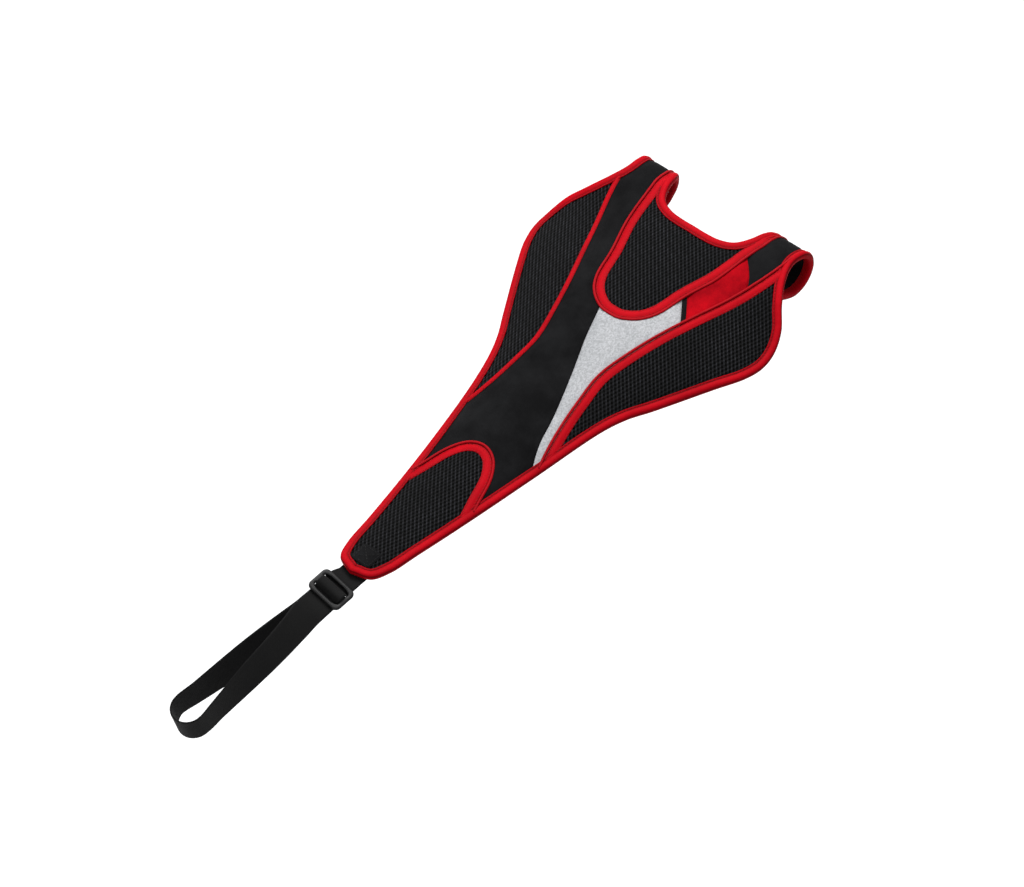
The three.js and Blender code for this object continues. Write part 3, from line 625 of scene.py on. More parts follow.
def slab(name, flat, faces, top, low, shape=bend, relief=None):
    """Closed sheet between two heights over the same flat triangles."""
    used, faces = np.unique(faces, return_inverse=True)
    faces = faces.reshape(-1, 3)
    flat, top, low = flat[used], top[used], low[used]
    if relief is not None:
        relief = np.tile(relief[used], 2)
    flipped = twice_area(flat, faces) > 0
    faces[flipped] = faces[flipped][:, ::-1]
    count = len(flat)
    walls = []
    for a, b in border(faces):
        walls.append((a, a + count, b + count))
        walls.append((a, b + count, b))
    solid = np.vstack([faces, faces[:, ::-1] + count, np.array(walls)])
    places = np.column_stack([np.tile(flat, (2, 1)), np.concatenate([top, low])])
    return make_object(name, shape(*places.T), solid, flat=places, relief=relief)


# How far below its crown the painted shade on a tape starts and stops growing darker, and where its hidden
# side begins
GROOVE_TOP = 0.25
GROOVE_DEPTH = 1.6
TAPE_FACE_DEPTH = 2.4


def sweep(name, line, section, closed=False, heights=None):
    """A section of sideways distances and heights along a flat line."""
    section = np.asarray(section, float)
    size, count = len(section), len(line)
    rings = np.stack([offset(line, side, closed) for side, _ in section], axis=1)
    n = np.tile(section[:, 1], (count, 1))
    if heights is not None:
        n = n + heights(np.arange(count)[:, None], section[:, 0][None])
    places = np.dstack([rings, n]).reshape(-1, 3)
    # Painted shade: the tape darkens in its grooves and down its sides below the crown, and stays full on
    # the crown and on its hidden side
    high = section[:, 1].max()
    painted_shade = smoothstep(section[:, 1], high - GROOVE_DEPTH, high - GROOVE_TOP)
    painted_shade = np.where(section[:, 1] > high - TAPE_FACE_DEPTH, painted_shade, 1.0)
    faces = ring_faces(count, size, closed)
    return make_object(name, bend(*places.T), faces, flat=places, relief=np.tile(painted_shade, count))


def ring_faces(count, size, closed):
    """Faces between rings of points, with a face over each end where the run isn't closed."""
    i = np.arange(count if closed else count - 1)[:, None]
    j = np.arange(size)[None]
    here, there = i * size, ((i + 1) % count) * size
    after = (j + 1) % size
    quads = np.stack([here + j, there + j, there + after, here + after], axis=-1).reshape(-1, 4)
    faces = [tuple(q) for q in quads]
    if not closed:
        faces.append(tuple(range(size)))
        faces.append(tuple(range((count - 1) * size, count * size))[::-1])
    return faces


# Materials

def new_material(name):
    material = bpy.data.materials.new(name)
    material.use_nodes = True
    return material, material.node_tree.nodes, material.node_tree.links


def node(nodes, kind, **values):
    """A new node. A value whose name starts with in_ is set on the input of that name."""
    made = nodes.new(kind)
    for key, value in values.items():
        if key.startswith("in_"):
            made.inputs[key[3:].replace("_", " ")].default_value = value
        else:
            setattr(made, key, value)
    return made


def maths(nodes, links, operation, *values):
    """Output of a Math node whose inputs are numbers or other nodes' outputs."""
    made = node(nodes, "ShaderNodeMath", operation=operation)
    for socket, value in zip(made.inputs, values):
        if isinstance(value, float):
            socket.default_value = value
        else:
            links.new(value, socket)
    return made.outputs["Value"]


def ramp(nodes, links, factor, stops):
    made = nodes.new("ShaderNodeValToRGB")
    made.color_ramp.elements[0].position, made.color_ramp.elements[0].color = stops[0]
    made.color_ramp.elements[1].position, made.color_ramp.elements[1].color = stops[-1]
    for position, colour in stops[1:-1]:
        made.color_ramp.elements.new(position).color = colour
    links.new(factor, made.inputs["Fac"])
    return made.outputs["Color"]


def multiplied(nodes, links, colour, factor):
    """A colour darkened by a second colour or a grey."""
    mixed = node(nodes, "ShaderNodeMix", data_type="RGBA", blend_type="MULTIPLY")
    mixed.inputs[0].default_value = 1.0
    links.new(colour, mixed.inputs[6])
    links.new(factor, mixed.inputs[7])
    return mixed.outputs[2]


def surface(nodes, links, colour, height, bump, distance, roughness, gloss):
    """Gives the shader its colour and bump, and sets how rough and how glossy it is."""
    shader = nodes["Principled BSDF"]
    links.new(colour, shader.inputs["Base Color"])
    raised = node(nodes, "ShaderNodeBump", in_Strength=bump, in_Distance=distance)
    links.new(height, raised.inputs["Height"])
    links.new(raised.outputs["Normal"], shader.inputs["Normal"])
    shader.inputs["Roughness"].default_value = roughness
    shader.inputs["Specular IOR Level"].default_value = gloss
    return shader


def to_linear(colour):
    return tuple((c / 12.92 if c <= 0.04045 else ((c + 0.055) / 1.055) ** 2.4) for c in colour) + (1,)


FINE_SCALE = 900.0
BROAD_SCALE = 26.0
FLECK_SCALE = 850.0


def fabric(
    name, dark, light, roughness, sheen, weave_mm, turn=0.0, bump=0.25, fleck=0.0, woven=False, gloss=0.1,
    painted_shades=(), mottle=0.9,
):
    """Cloth with thread relief in the flat pattern's own directions and soft uneven colour."""
    material, nodes, links = new_material(name)
    flat = node(nodes, "ShaderNodeAttribute", attribute_name="flat")
    aligned = node(nodes, "ShaderNodeMapping", vector_type="POINT", in_Rotation=(0, 0, turn))
    links.new(flat.outputs["Vector"], aligned.inputs["Vector"])

    def texture(output, kind, **values):
        made = node(nodes, kind, **values)
        links.new(aligned.outputs["Vector"], made.inputs["Vector"])
        return made.outputs[output]

    broad = texture("Fac", "ShaderNodeTexNoise", in_Scale=BROAD_SCALE, in_Detail=4.0, in_Roughness=0.6)
    fine = texture("Fac", "ShaderNodeTexNoise", in_Scale=FINE_SCALE, in_Detail=3.0, in_Roughness=0.7)
    threads = [
        texture(
            "Fac", "ShaderNodeTexWave", wave_type="BANDS", bands_direction=axis, wave_profile="SIN",
            in_Scale=2 * math.pi / (20 * weave_mm * MM), in_Distortion=0.3 if woven else 1.2, in_Detail=1.0,
        )
        for axis in ("X", "Y")
    ]
    weave = maths(nodes, links, "MAXIMUM" if woven else "MULTIPLY", *threads)
    relief = maths(nodes, links, "MULTIPLY_ADD", fine, 0.5, weave)
    cloudy = maths(nodes, links, "MULTIPLY_ADD", broad, mottle, 0.2 - mottle / 2)
    tone = maths(nodes, links, "MULTIPLY_ADD", relief, 0.45, cloudy)
    colour = ramp(nodes, links, tone, [(0.1, to_linear(dark)), (0.9, to_linear(light))])
    if fleck:
        spots = texture("Color", "ShaderNodeTexVoronoi", feature="F1", in_Scale=FLECK_SCALE)
        separate = node(nodes, "ShaderNodeSeparateColor")
        links.new(spots, separate.inputs["Color"])
        level = node(nodes, "ShaderNodeMapRange", in_From_Min=0.1, in_From_Max=0.9, in_To_Min=1 - fleck)
        links.new(separate.outputs[0], level.inputs["Value"])
        colour = multiplied(nodes, links, colour, level.outputs["Result"])
    # Painted shade: the colour is darkened where the relief attribute is low
    if painted_shades:
        painted_shade_input = node(nodes, "ShaderNodeAttribute", attribute_name="relief")
        stops = [(at, (share, share, share, 1)) for at, share in painted_shades]
        colour = multiplied(nodes, links, colour, ramp(nodes, links, painted_shade_input.outputs["Fac"], stops))
    shader = surface(nodes, links, colour, relief, bump, 0.0004, roughness, gloss)
    shader.inputs["Sheen Weight"].default_value = sheen
    shader.inputs["Sheen Roughness"].default_value = 0.5
    return material


def moulded(name, dark, light):
    """Satin moulded plastic with a faint grain."""
    material, nodes, links = new_material(name)
    place = node(nodes, "ShaderNodeTexCoord").outputs["Object"]
    grain = node(nodes, "ShaderNodeTexNoise", in_Scale=2200.0, in_Detail=3.0)
    broad = node(nodes, "ShaderNodeTexNoise", in_Scale=60.0, in_Detail=2.0)
    links.new(place, grain.inputs["Vector"])
    links.new(place, broad.inputs["Vector"])
    colour = ramp(nodes, links, broad.outputs["Fac"], [(0.2, to_linear(dark)), (0.8, to_linear(light))])
    surface(nodes, links, colour, grain.outputs["Fac"], 0.12, 0.0002, 0.42, 0.22)
    return material


# Painted shade: share of the cloth's own colour that is left at each height of the relief, so that the mesh
# holes and the tapes' grooves and sides are darker
MESH_PAINTED_SHADE = ((0.0, 0.0), (0.45, 0.03), (0.72, 0.2), (0.95, 1.0))
TAPE_PAINTED_SHADE = ((0.0, 0.28), (0.5, 0.72), (1.0, 1.0))

black_cloth = fabric(
    "black_knit", (0.0, 0.0, 0.004), (0.105, 0.105, 0.11), 0.85, 0.02, 1.0, turn=0.6, bump=0.4, mottle=2.0
)
mesh_cloth = fabric(
    "mesh_knit", (0.055, 0.055, 0.065), (0.25, 0.25, 0.27), 0.7, 0.02, 0.8, turn=-0.71, painted_shades=MESH_PAINTED_SHADE
)
silver_cloth = fabric(
    "silver_knit", (0.68, 0.69, 0.7), (0.86, 0.86, 0.87), 0.5, 0.05, 0.7, turn=0.3, fleck=0.3, gloss=0.3
)
red_cloth = fabric(
    "red_knit", (0.5, 0.0, 0.05), (0.84, 0.03, 0.1), 0.8, 0.0, 0.9, turn=0.4, bump=0.4, gloss=0.05,
    mottle=2.0,
)
red_tape = fabric(
    "red_tape", (0.56, 0.0, 0.05), (0.83, 0.02, 0.1), 0.6, 0.0, 0.8, woven=True, gloss=0.06,
    painted_shades=TAPE_PAINTED_SHADE,
)
red_cord = fabric(
    "red_piping", (0.5, 0.0, 0.05), (0.76, 0.02, 0.09), 0.55, 0.0, 0.7, woven=True, painted_shades=TAPE_PAINTED_SHADE
)
lining_cloth = fabric(
    "lining", (0.05, 0.05, 0.055), (0.11, 0.11, 0.115), 0.6, 0.0, 0.5, woven=True, bump=0.12, gloss=0.12
)
hook_cloth = fabric(
    "hook_tape", (0.05, 0.05, 0.055), (0.12, 0.12, 0.125), 0.5, 0.0, 1.1, woven=True, bump=0.6, gloss=0.25
)
pile_cloth = fabric("pile_tape", (0.07, 0.07, 0.075), (0.15, 0.15, 0.155), 0.95, 0.1, 0.6, bump=0.8)
webbing_cloth = fabric("webbing", (0.02, 0.02, 0.02), (0.09, 0.09, 0.09), 0.7, 0.02, 0.9, woven=True)
thread_red = fabric(
    "red_thread", (0.42, 0.0, 0.04), (0.66, 0.04, 0.08), 0.5, 0.05, 0.3, woven=True, gloss=0.2
)
thread_black = fabric(
    "black_thread", (0.03, 0.03, 0.03), (0.1, 0.1, 0.1), 0.5, 0.05, 0.3, woven=True, gloss=0.2
)
plastic = moulded("slider_plastic", (0.03, 0.03, 0.033), (0.07, 0.07, 0.073))


# Panels

CROWN = 0.8
SEAM_DIP = 0.5
KNIT_SINK = 0.25

verts, faces, panel_names = cut_cloth()
to_seam = distance_to(verts, list(SEAM_LINES.values()))
to_edge = distance_to(verts, [closed_line(resample(outline, 3))])


def crown(points, near):
    """Rise of the foam between seams, with small puckers beside them."""
    s, v = points.T
    rise = -SEAM_DIP + (CROWN + SEAM_DIP) * smoothstep(near, 0.5, 9)
    pucker = np.sin(s * 0.83 + v * 0.71) * 0.6 + np.sin(s * 0.47 - v * 0.99)
    return rise + 0.16 * pucker * np.exp(-(((near - 6) / 4) ** 2))


def knots(points):
    """Share of the full height along the ribs, where the threads of the mesh are looped together."""
    along, wide = to_knit(points).T
    rib = np.floor(wide / COLUMN_PITCH).astype(int)
    phase = along / HOLE_PITCH + 0.25 + 0.5 * (rib % 2)
    uneven = 0.12 * np.sin(along * 0.37 + wide * 0.61) + 0.1 * np.sin(along * 0.83 - wide * 0.29)
    return 0.66 + 0.34 * np.cos(2 * math.pi * phase) + uneven


def knit_relief(points):
    """Height of the knitted mesh: deep holes, low bridges and raised ribs between the columns. The mesh's
    painted shade is read from this height.
    """
    column, row, along, wide = knit_cell(points)
    kept = {(int(c), int(r)) for c, r in zip(*knit_cell(holes)[:2])}
    holed = np.array([(int(c), int(r)) in kept for c, r in zip(column, row)])
    far = np.hypot(along / (HOLE_LONG + RIM), wide / (HOLE_WIDE + RIM))
    rib = RIB_RISE * (0.5 - 0.5 * np.cos(2 * math.pi * wide / COLUMN_PITCH)) * knots(points)
    return rib - KNIT_SINK - np.where(holed, HOLE_DEPTH * (1 - smoothstep(far, 0.66, 1.02)), 0)


rise = crown(verts, np.minimum(to_seam, np.maximum(to_edge - BINDING_WIDTH + 3.5, 0)))
knit = knit_relief(verts)
# Painted shade of the mesh: its colour darkens with depth, to black in the holes, where a real hole also
# shows the dark lining, and stays full only on the rib tops
painted_shade_from = HOLE_DEPTH * 0.3
knit_painted_shade = np.clip((knit + KNIT_SINK + painted_shade_from) / (RIB_RISE + painted_shade_from), 0, 1)

BLACK = (black_cloth, "black_cloth")
PANEL_LOOKS = {
    "centre_panel": BLACK,
    "silver_panel": (silver_cloth, "silver_cloth"),
    "black_insert": BLACK,
    "red_panel": (red_cloth, "red_cloth"),
    "right_loop_panel": BLACK,
    **{name: (mesh_cloth, "mesh_cloth") for name in MESH_PANELS},
}
panels = {}
for name, looks in PANEL_LOOKS.items():
    knitted = name in MESH_PANELS
    top = PANEL_TOP + rise + (knit if knitted else 0)
    low = np.full(len(verts), PANEL_LOW)
    # The mesh panels carry their painted shade in the relief attribute
    painted_shade = knit_painted_shade if knitted else None
    made = slab(name + "_cloth", verts, faces[panel_names == name], top, low, relief=painted_shade)
    panels[name] = dress(made, *looks, name)


# Lining, tabs and patches

def plain_sheet(name, stands_for, polygon, top, low, cell, looks, crowned=0.0):
    """A slab cut to one closed polygon, in place of a CAD node."""
    edge = resample(closed_line(polygon), cell)[:-1]
    border_line = [closed_line(edge)]

    def on_sheet(points):
        return inside(points, edge)

    grid = grid_within(edge.min(axis=0), edge.max(axis=0), (cell * 0.9, cell), on_sheet, cell / 2)
    grid = grid[distance_to(grid, border_line) > cell * 0.4]
    flat, cut = triangulate([edge], [], [grid], on_sheet)
    lift = crowned * smoothstep(distance_to(flat, border_line), 0.5, 8)
    made = slab(name, flat, cut, top + lift, np.full(len(flat), float(low)))
    return dress(made, *looks, stands_for)


def rounded_patch(centre_s, centre_v, length, width, radius=3.0, radius_across=None, count=7):
    """A rounded rectangle as a closed polygon, its corners as long and as wide as the two radii."""
    across_radius = radius_across or radius
    corners = []
    for i, (a, b) in enumerate(((1, 1), (-1, 1), (-1, -1), (1, -1))):
        angles = np.linspace(i, i + 1, count) * math.pi / 2
        s = centre_s + a * (length / 2 - radius) + radius * np.cos(angles)
        v = centre_v + b * (width / 2 - across_radius) + across_radius * np.sin(angles)
        corners.append(np.stack([s, v], axis=1))
    return np.vstack(corners)


# The body of the cloth and the two tabs part along straight seams
SIDES = (("left", 1), ("right", -1))
whole_edge = resample(closed_line(cloth_edge), 1.0)[:-1]
on_tab = whole_edge[:, 0] < TAB_SEAM_S
body_edge = whole_edge[~on_tab]
looks = (lining_cloth, "lining")
lining = plain_sheet("lining_cloth", "backing_sheet", body_edge, BACKING_TOP, BACKING_LOW, 3.2, looks)
tabs = {}
for label, side in SIDES:
    edge = whole_edge[on_tab & (whole_edge[:, 1] * side > 0)]
    names = (f"{label}_tab_cloth", f"{label}_bar_tab")
    tabs[label] = plain_sheet(*names, edge, PANEL_TOP + 0.2, BACKING_LOW, 2.6, BLACK, crowned=0.5)

tab_middle = (TAB_INNER_V + TAB_OUTER_V) / 2
hook_s = TAB_END + BINDING_WIDTH + 3 + HOOK_LENGTH / 2
pile_s = (LAP_START + LAP_END) / 2
# Kind, cloth, place, length, width, lower face and what it lies on
PATCHES = (
    ("hook", hook_cloth, hook_s, HOOK_LENGTH, HOOK_WIDTH, HOOK_LOW + 0.5, "{}_tab_cloth"),
    ("pile", pile_cloth, pile_s, LAP_LENGTH, PILE_WIDTH, PILE_LOW, "lining_cloth"),
)
patches = []
for label, side in SIDES:
    for kind, cloth, middle, length, width, low, rests_on in PATCHES:
        shape = rounded_patch(middle, side * tab_middle, length, width)
        names = (f"{label}_{kind}_tape", f"{label}_{kind}_patch")
        made = plain_sheet(*names, shape, PATCH_TOP, low, 2.0, (cloth, f"{kind}_tape"))
        patches.append((made, rests_on.format(label)))

ANCHOR_CUT = (ANCHOR_LENGTH - 1, ANCHOR_WIDTH - 4)
anchor_middle = STRAP_ANCHOR_S + ANCHOR_LENGTH / 2 + 2
anchor = plain_sheet(
    "strap_anchor_cloth", "strap_anchor_patch", rounded_patch(anchor_middle, 0, *ANCHOR_CUT),
    TAPE_LOW + 0.5, TAPE_LOW - 0.4, 1.6, BLACK, crowned=0.35,
)
patches.append((anchor, "tail_mesh_panel_cloth"))


# Bindings, tapes and piping

TAPE_STEP = 2.0


def clip_line(line, polygon):
    """The stretch of a line inside a polygon."""
    close = resample(line, 0.4)
    return resample(close[inside(close, polygon)], TAPE_STEP)


outline_fine = resample(closed_line(outline), TAPE_STEP)[:-1]
LOW_FACE = BINDING_LOW
# Distance in from the edge, and height, from the inner lip on top round the edge to the lip below
binding_section = [
    (8.5, TAPE_LOW - 0.75), (8.5, TAPE_LOW + 0.05), (8.2, TAPE_LOW + 0.45), (7.6, TAPE_LOW + 0.5),
    (7.0, TAPE_LOW - 0.1), (6.3, TAPE_LOW + 0.3), (5.3, TAPE_LOW + 0.85), (4.0, TAPE_LOW + 1.25),
    (2.6, TAPE_LOW + 1.3), (1.3, TAPE_LOW + 0.85), (0.35, TAPE_LOW - 0.2), (-0.1, -0.4), (0.1, BACKING_LOW),
    (0.9, LOW_FACE + 0.3), (2.2, LOW_FACE - 0.2), (4.0, LOW_FACE - 0.1), (6.0, LOW_FACE + 0.35),
    (7.0, LOW_FACE + 0.75), (7.6, LOW_FACE + 0.6), (8.3, LOW_FACE + 0.7), (8.5, LOW_FACE + 1.0),
    (8.3, BACKING_LOW + 0.05), (1.6, BACKING_LOW + 0.05), (1.6, TAPE_LOW - 0.75),
]
PUCKER_PERIOD = 7.4


def puckers(size):
    """Small pulls of the stitching along a tape."""

    def height(i, side):
        turn = i * TAPE_STEP * 2 * math.pi / PUCKER_PERIOD
        wave = np.sin(turn) + 0.6 * np.sin(turn / 1.83 + 1.3)
        return size * wave * np.clip(np.abs(side) / 4, 0, 1)

    return height


binding = sweep("binding_tape", outline_fine, binding_section[::-1], closed=True, heights=puckers(0.1))
trims = [dress(binding, red_tape, "binding_tape", "edge_binding")]


def tape_section(width):
    """A folded tape with a raised rim along each side and a crown between its two stitch rows."""
    half = width / 2
    base = PANEL_TOP - 0.45
    right_side = [(half, 0), (half, 0.55), (half - 0.35, 0.85), (half - 0.9, 0.72), (half * 0.45, 1.3)]
    left_side = [(-side, up) for side, up in right_side]
    return [(side, base + up) for side, up in [*left_side, (0, 1.42), *right_side[::-1]]]


def cord_section(width, high):
    low = PANEL_TOP - 0.5
    centre, half = (low + high) / 2, (high - low) / 2
    angles = np.linspace(0, 2 * math.pi, 13)[:-1]
    return [(-width / 2 * math.cos(a), centre + half * math.sin(a)) for a in angles]


piping_middle = SEAM_TAPE_WIDTH / 2 + GAP + PIPING_WIDTH / 2
TAPES = (
    ("left_seam_tape", left_wing_seam, SINGLE_TAPE_WIDTH),
    ("right_seam_tape", right_wing_seam, SEAM_TAPE_WIDTH),
    ("vee_seam_tape", vee_tape_line, SEAM_TAPE_WIDTH),
    ("tail_seam_tape", arch_seam, SEAM_TAPE_WIDTH),
)
PIPINGS = (
    ("right_seam_piping", right_wing_seam, -piping_middle),
    ("vee_seam_piping", vee_tape_line, -piping_middle),
    ("tail_seam_piping", arch_seam, piping_middle),
)
tape_lines = {}
for name, line, width in TAPES:
    tape_lines[name] = clip_line(line, under_binding)
    made = sweep(name + "_cloth", tape_lines[name], tape_section(width), heights=puckers(0.08))
    trims.append(dress(made, red_tape, "seam_tape", name))
for name, line, middle in PIPINGS:
    section = cord_section(PIPING_WIDTH + 0.3, TAPE_LOW + PIPING_HEIGHT)
    made = sweep(name + "_cord", clip_line(offset(line, middle), under_binding), section)
    trims.append(dress(made, red_cord, "piping", name))


# Stitching

STITCH_LENGTH = 2.3
STITCH_PITCH = 3.1
THREAD_RADIUS = 0.22
THREAD_SIDES = 6
BINDING_ROW = 7.1
TAPE_ROW = 0.95
ANCHOR_ROW = 1.8
# Along one stitch: share of its length, share of the thread's thickness, and lift in radii
STITCH_PROFILE = (
    (-0.5, 0.0, -0.5), (-0.42, 0.75, -0.1), (-0.2, 1.0, 0.35),
    (0.2, 1.0, 0.35), (0.42, 0.75, -0.1), (0.5, 0.0, -0.5),
)


def stitches(name, rows, material, slot_name):
    """Rows of sewn thread. Each row is a flat line and the height of the cloth under it."""
    positions, faces = [], []
    one_stitch = [face[::-1] for face in ring_faces(len(STITCH_PROFILE), THREAD_SIDES, False)]
    turns = [2 * math.pi * k / THREAD_SIDES for k in range(THREAD_SIDES)]
    for line, level in rows:
        along = lengths(line)
        for middle in np.arange(STITCH_PITCH / 2, along[-1] - STITCH_PITCH / 2, STITCH_PITCH):
            base = len(positions)
            faces += [tuple(base + corner for corner in face) for face in one_stitch]
            for t, fat, lift in STITCH_PROFILE:
                distance = middle + t * STITCH_LENGTH
                s, v = read_at(distance, along, line)
                ds, dv = read_at(distance + 0.1, along, line) - (s, v)
                size = math.hypot(ds, dv) or 1
                radius = max(THREAD_RADIUS * fat, 0.03)
                for a in turns:
                    w = radius * math.cos(a) / size
                    up = level + lift * THREAD_RADIUS + radius * math.sin(a)
                    positions.append((s + dv * w, v - ds * w, up))
    flat = np.array(positions)
    return dress(make_object(name, bend(*flat.T), faces, flat=flat), material, slot_name)


binding_row = closed_line(offset(outline_fine, BINDING_ROW, closed=True))
rows = [(binding_row, TAPE_LOW + 0.1)]
for name, _, width in TAPES:
    for side in (-1, 1):
        rows.append((offset(tape_lines[name], side * (width / 2 - TAPE_ROW)), PANEL_TOP + 0.36))
trims.append(stitches("red_stitching", rows, thread_red, "seam_tape"))
trims.append(stitches("under_stitching", [(binding_row, LOW_FACE + 0.6)], thread_red, "binding_tape"))

# The strap's end is sewn down round a rectangle and across it both ways
sewn_size = [size - 2 * ANCHOR_ROW for size in ANCHOR_CUT]
sewn_box = rounded_patch(anchor_middle, 0, *sewn_size, 1.6)
anchor_rows = [(closed_line(sewn_box), TAPE_LOW + 0.62)]
reach_s = ANCHOR_LENGTH / 2 - 2.7
reach_v = ANCHOR_WIDTH / 2 - 4.2
for sign in (-1, 1):
    corner_place = np.array([reach_s, sign * reach_v])
    diagonal = [anchor_middle, 0] + np.array([-corner_place, corner_place])
    anchor_rows.append((resample(diagonal, 1.0), TAPE_LOW + 0.92))
stitches("anchor_stitching", anchor_rows, thread_black, "black_cloth")


# The tail strap, along the CAD source's own path

def unit(vector):
    return np.asarray(vector, float) / np.linalg.norm(vector)


Y = np.array([0.0, 1.0, 0.0])
tail_end = bend(TAIL_S, 0, BINDING_LOW - GAP - STRAP_THICK / 2) / MM
post_centre = np.array([POST_X, 0, POST_Z])
post_axis = np.array([-math.sin(POST_LEAN), 0, math.cos(POST_LEAN)])
post_rear = np.array([-math.cos(POST_LEAN), 0, -math.sin(POST_LEAN)])
pull = unit((post_centre - tail_end) * [1, 0, 1])
lift = np.array([pull[2], 0, -pull[0]])
layer = STRAP_THICK + GAP
slider_centre = tail_end + pull * SLIDER_BEHIND_TAIL + lift * (SLIDER_THICK / 2 + GAP + STRAP_THICK / 2)


def turned(angle, upward):
    """Directions across the strap and out of its face, when it is turned by an angle."""
    c, s = math.cos(angle), math.sin(angle)
    return Y * c + upward * s, upward * c - Y * s


slider_across, slider_face = turned(SLIDER_ROLL, lift)


def from_slider(back, up, side=0.0):
    return slider_centre + pull * back + slider_face * up + slider_across * side


def strap_stations():
    under_tail = BINDING_LOW - GAP - STRAP_THICK / 2 - 1
    reach = (STRAP_ANCHOR_S, STRAP_ANCHOR_S + 10, STRAP_ANCHOR_S + 20, TAIL_S)
    stations = [(bend(s, 0, under_tail) / MM, Y) for s in reach]
    half = SLIDER_BAR / 2
    ends = SLIDER_LENGTH / 2
    first = -(SLIDER_THICK / 2 + GAP + STRAP_THICK / 2)
    second = first - layer
    over = layer - first
    outer = half + GAP + STRAP_THICK / 2 + layer
    through = (
        (-ends, first), (-outer - 1.4, first + 0.6), (-outer, 0.4), (-half - 0.6, over - 0.6), (0, over),
        (half + 0.6, over - 0.6), (outer, 0.4), (outer + 1.6, first + 0.5), (ends, first),
    )
    stations += [(from_slider(back, up), slider_across) for back, up in through]
    wrap = POST_RADIUS + GAP + STRAP_THICK / 2
    run_start = from_slider(ends, (first + second) / 2)

    def run(way):
        places = []
        for share, degrees, parted in RUNS:
            across_strap, face = turned(math.radians(degrees), post_axis)
            middle = run_start * (1 - share) + post_centre * share
            places.append((middle + face * way * parted, across_strap))
        return places

    stations += run(1)
    for degrees in np.arange(0, 181, 22.5):
        a = math.radians(degrees)
        stations.append((post_centre + post_rear * wrap * math.sin(a) - Y * wrap * math.cos(a), post_axis))
    stations += reversed(run(-1))
    inner = half + CLOTH_GAP + STRAP_THICK / 2
    inside_over = SLIDER_THICK / 2 + CLOTH_GAP + STRAP_THICK / 2
    back_again = (
        (ends - 1, second), (inner + 1.8, second + 0.5), (inner, 0), (inner - 1, inside_over - 0.3),
        (0, inside_over), (1 - inner, inside_over - 0.3), (-inner, 0), (0.6 - inner, second + 0.4),
        (inner - 1, second - layer), (ends - 2, second - layer),
    )
    return stations + [(from_slider(back, up), slider_across) for back, up in back_again]


WEBBING_STEP = 0.9
WEBBING_COLUMNS = 41
WEBBING_RIBS = 14
WEFT_PITCH = 3.2
RIB_HEIGHT = 0.1
SELVEDGE = 0.94


def webbing():
    """Woven strap: lengthwise cords across its width, crossed by the weft."""
    stations = strap_stations()
    per_span = 20
    path = catmull([place for place, _ in stations], per_span)
    across_strap = np.array([side for _, side in stations])
    at_stations = np.arange(len(stations)) * per_span
    sides = read_at(np.arange(len(path)), at_stations, across_strap)
    along = lengths(path)
    at = np.arange(0, along[-1], WEBBING_STEP)
    path, sides = read_at(at, along, path), read_at(at, along, sides)
    tangent = np.gradient(path, axis=0)
    tangent /= np.linalg.norm(tangent, axis=1)[:, None]
    wide = sides - tangent * np.sum(sides * tangent, axis=1)[:, None]
    wide /= np.linalg.norm(wide, axis=1)[:, None]
    thick = np.cross(tangent, wide)
    w = np.linspace(-1, 1, WEBBING_COLUMNS)
    v = w * STRAP_WIDTH / 2
    ribs = np.cos(w * math.pi * WEBBING_RIBS) * 0.5 + 0.5
    weft_turn = np.where((np.arange(WEBBING_COLUMNS) // 3) % 2, 0, math.pi)
    edge_round = np.sqrt(np.clip(1 - ((np.abs(w) - SELVEDGE) / (1 - SELVEDGE)).clip(0, 1) ** 2, 0.02, 1))
    rings, places = [], []
    for i, distance in enumerate(at):
        weft = 0.5 + 0.5 * np.cos(distance * 2 * math.pi / WEFT_PITCH + weft_turn)
        h = (STRAP_THICK / 2 - RIB_HEIGHT + RIB_HEIGHT * (ribs + weft)) * edge_round
        top = path[i] + wide[i] * v[:, None] + thick[i] * h[:, None]
        low = path[i] + wide[i] * v[::-1, None] - thick[i] * h[::-1, None]
        rings.append(np.vstack([top, low]))
        around = np.concatenate([v, v[::-1]])
        places.append(np.column_stack([np.full(len(around), distance), around, np.zeros(len(around))]))
    faces = ring_faces(len(path), 2 * WEBBING_COLUMNS, False)
    return make_object("strap_cloth", np.vstack(rings) * MM, faces, flat=np.vstack(places))


strap = dress(webbing(), webbing_cloth, "webbing", "strap_webbing")


SLIDER_GRID = (0.42, 0.45)
SLIDER_EDGE_ROUND = 1.5
SLIDER_EDGE_HALF = 0.35


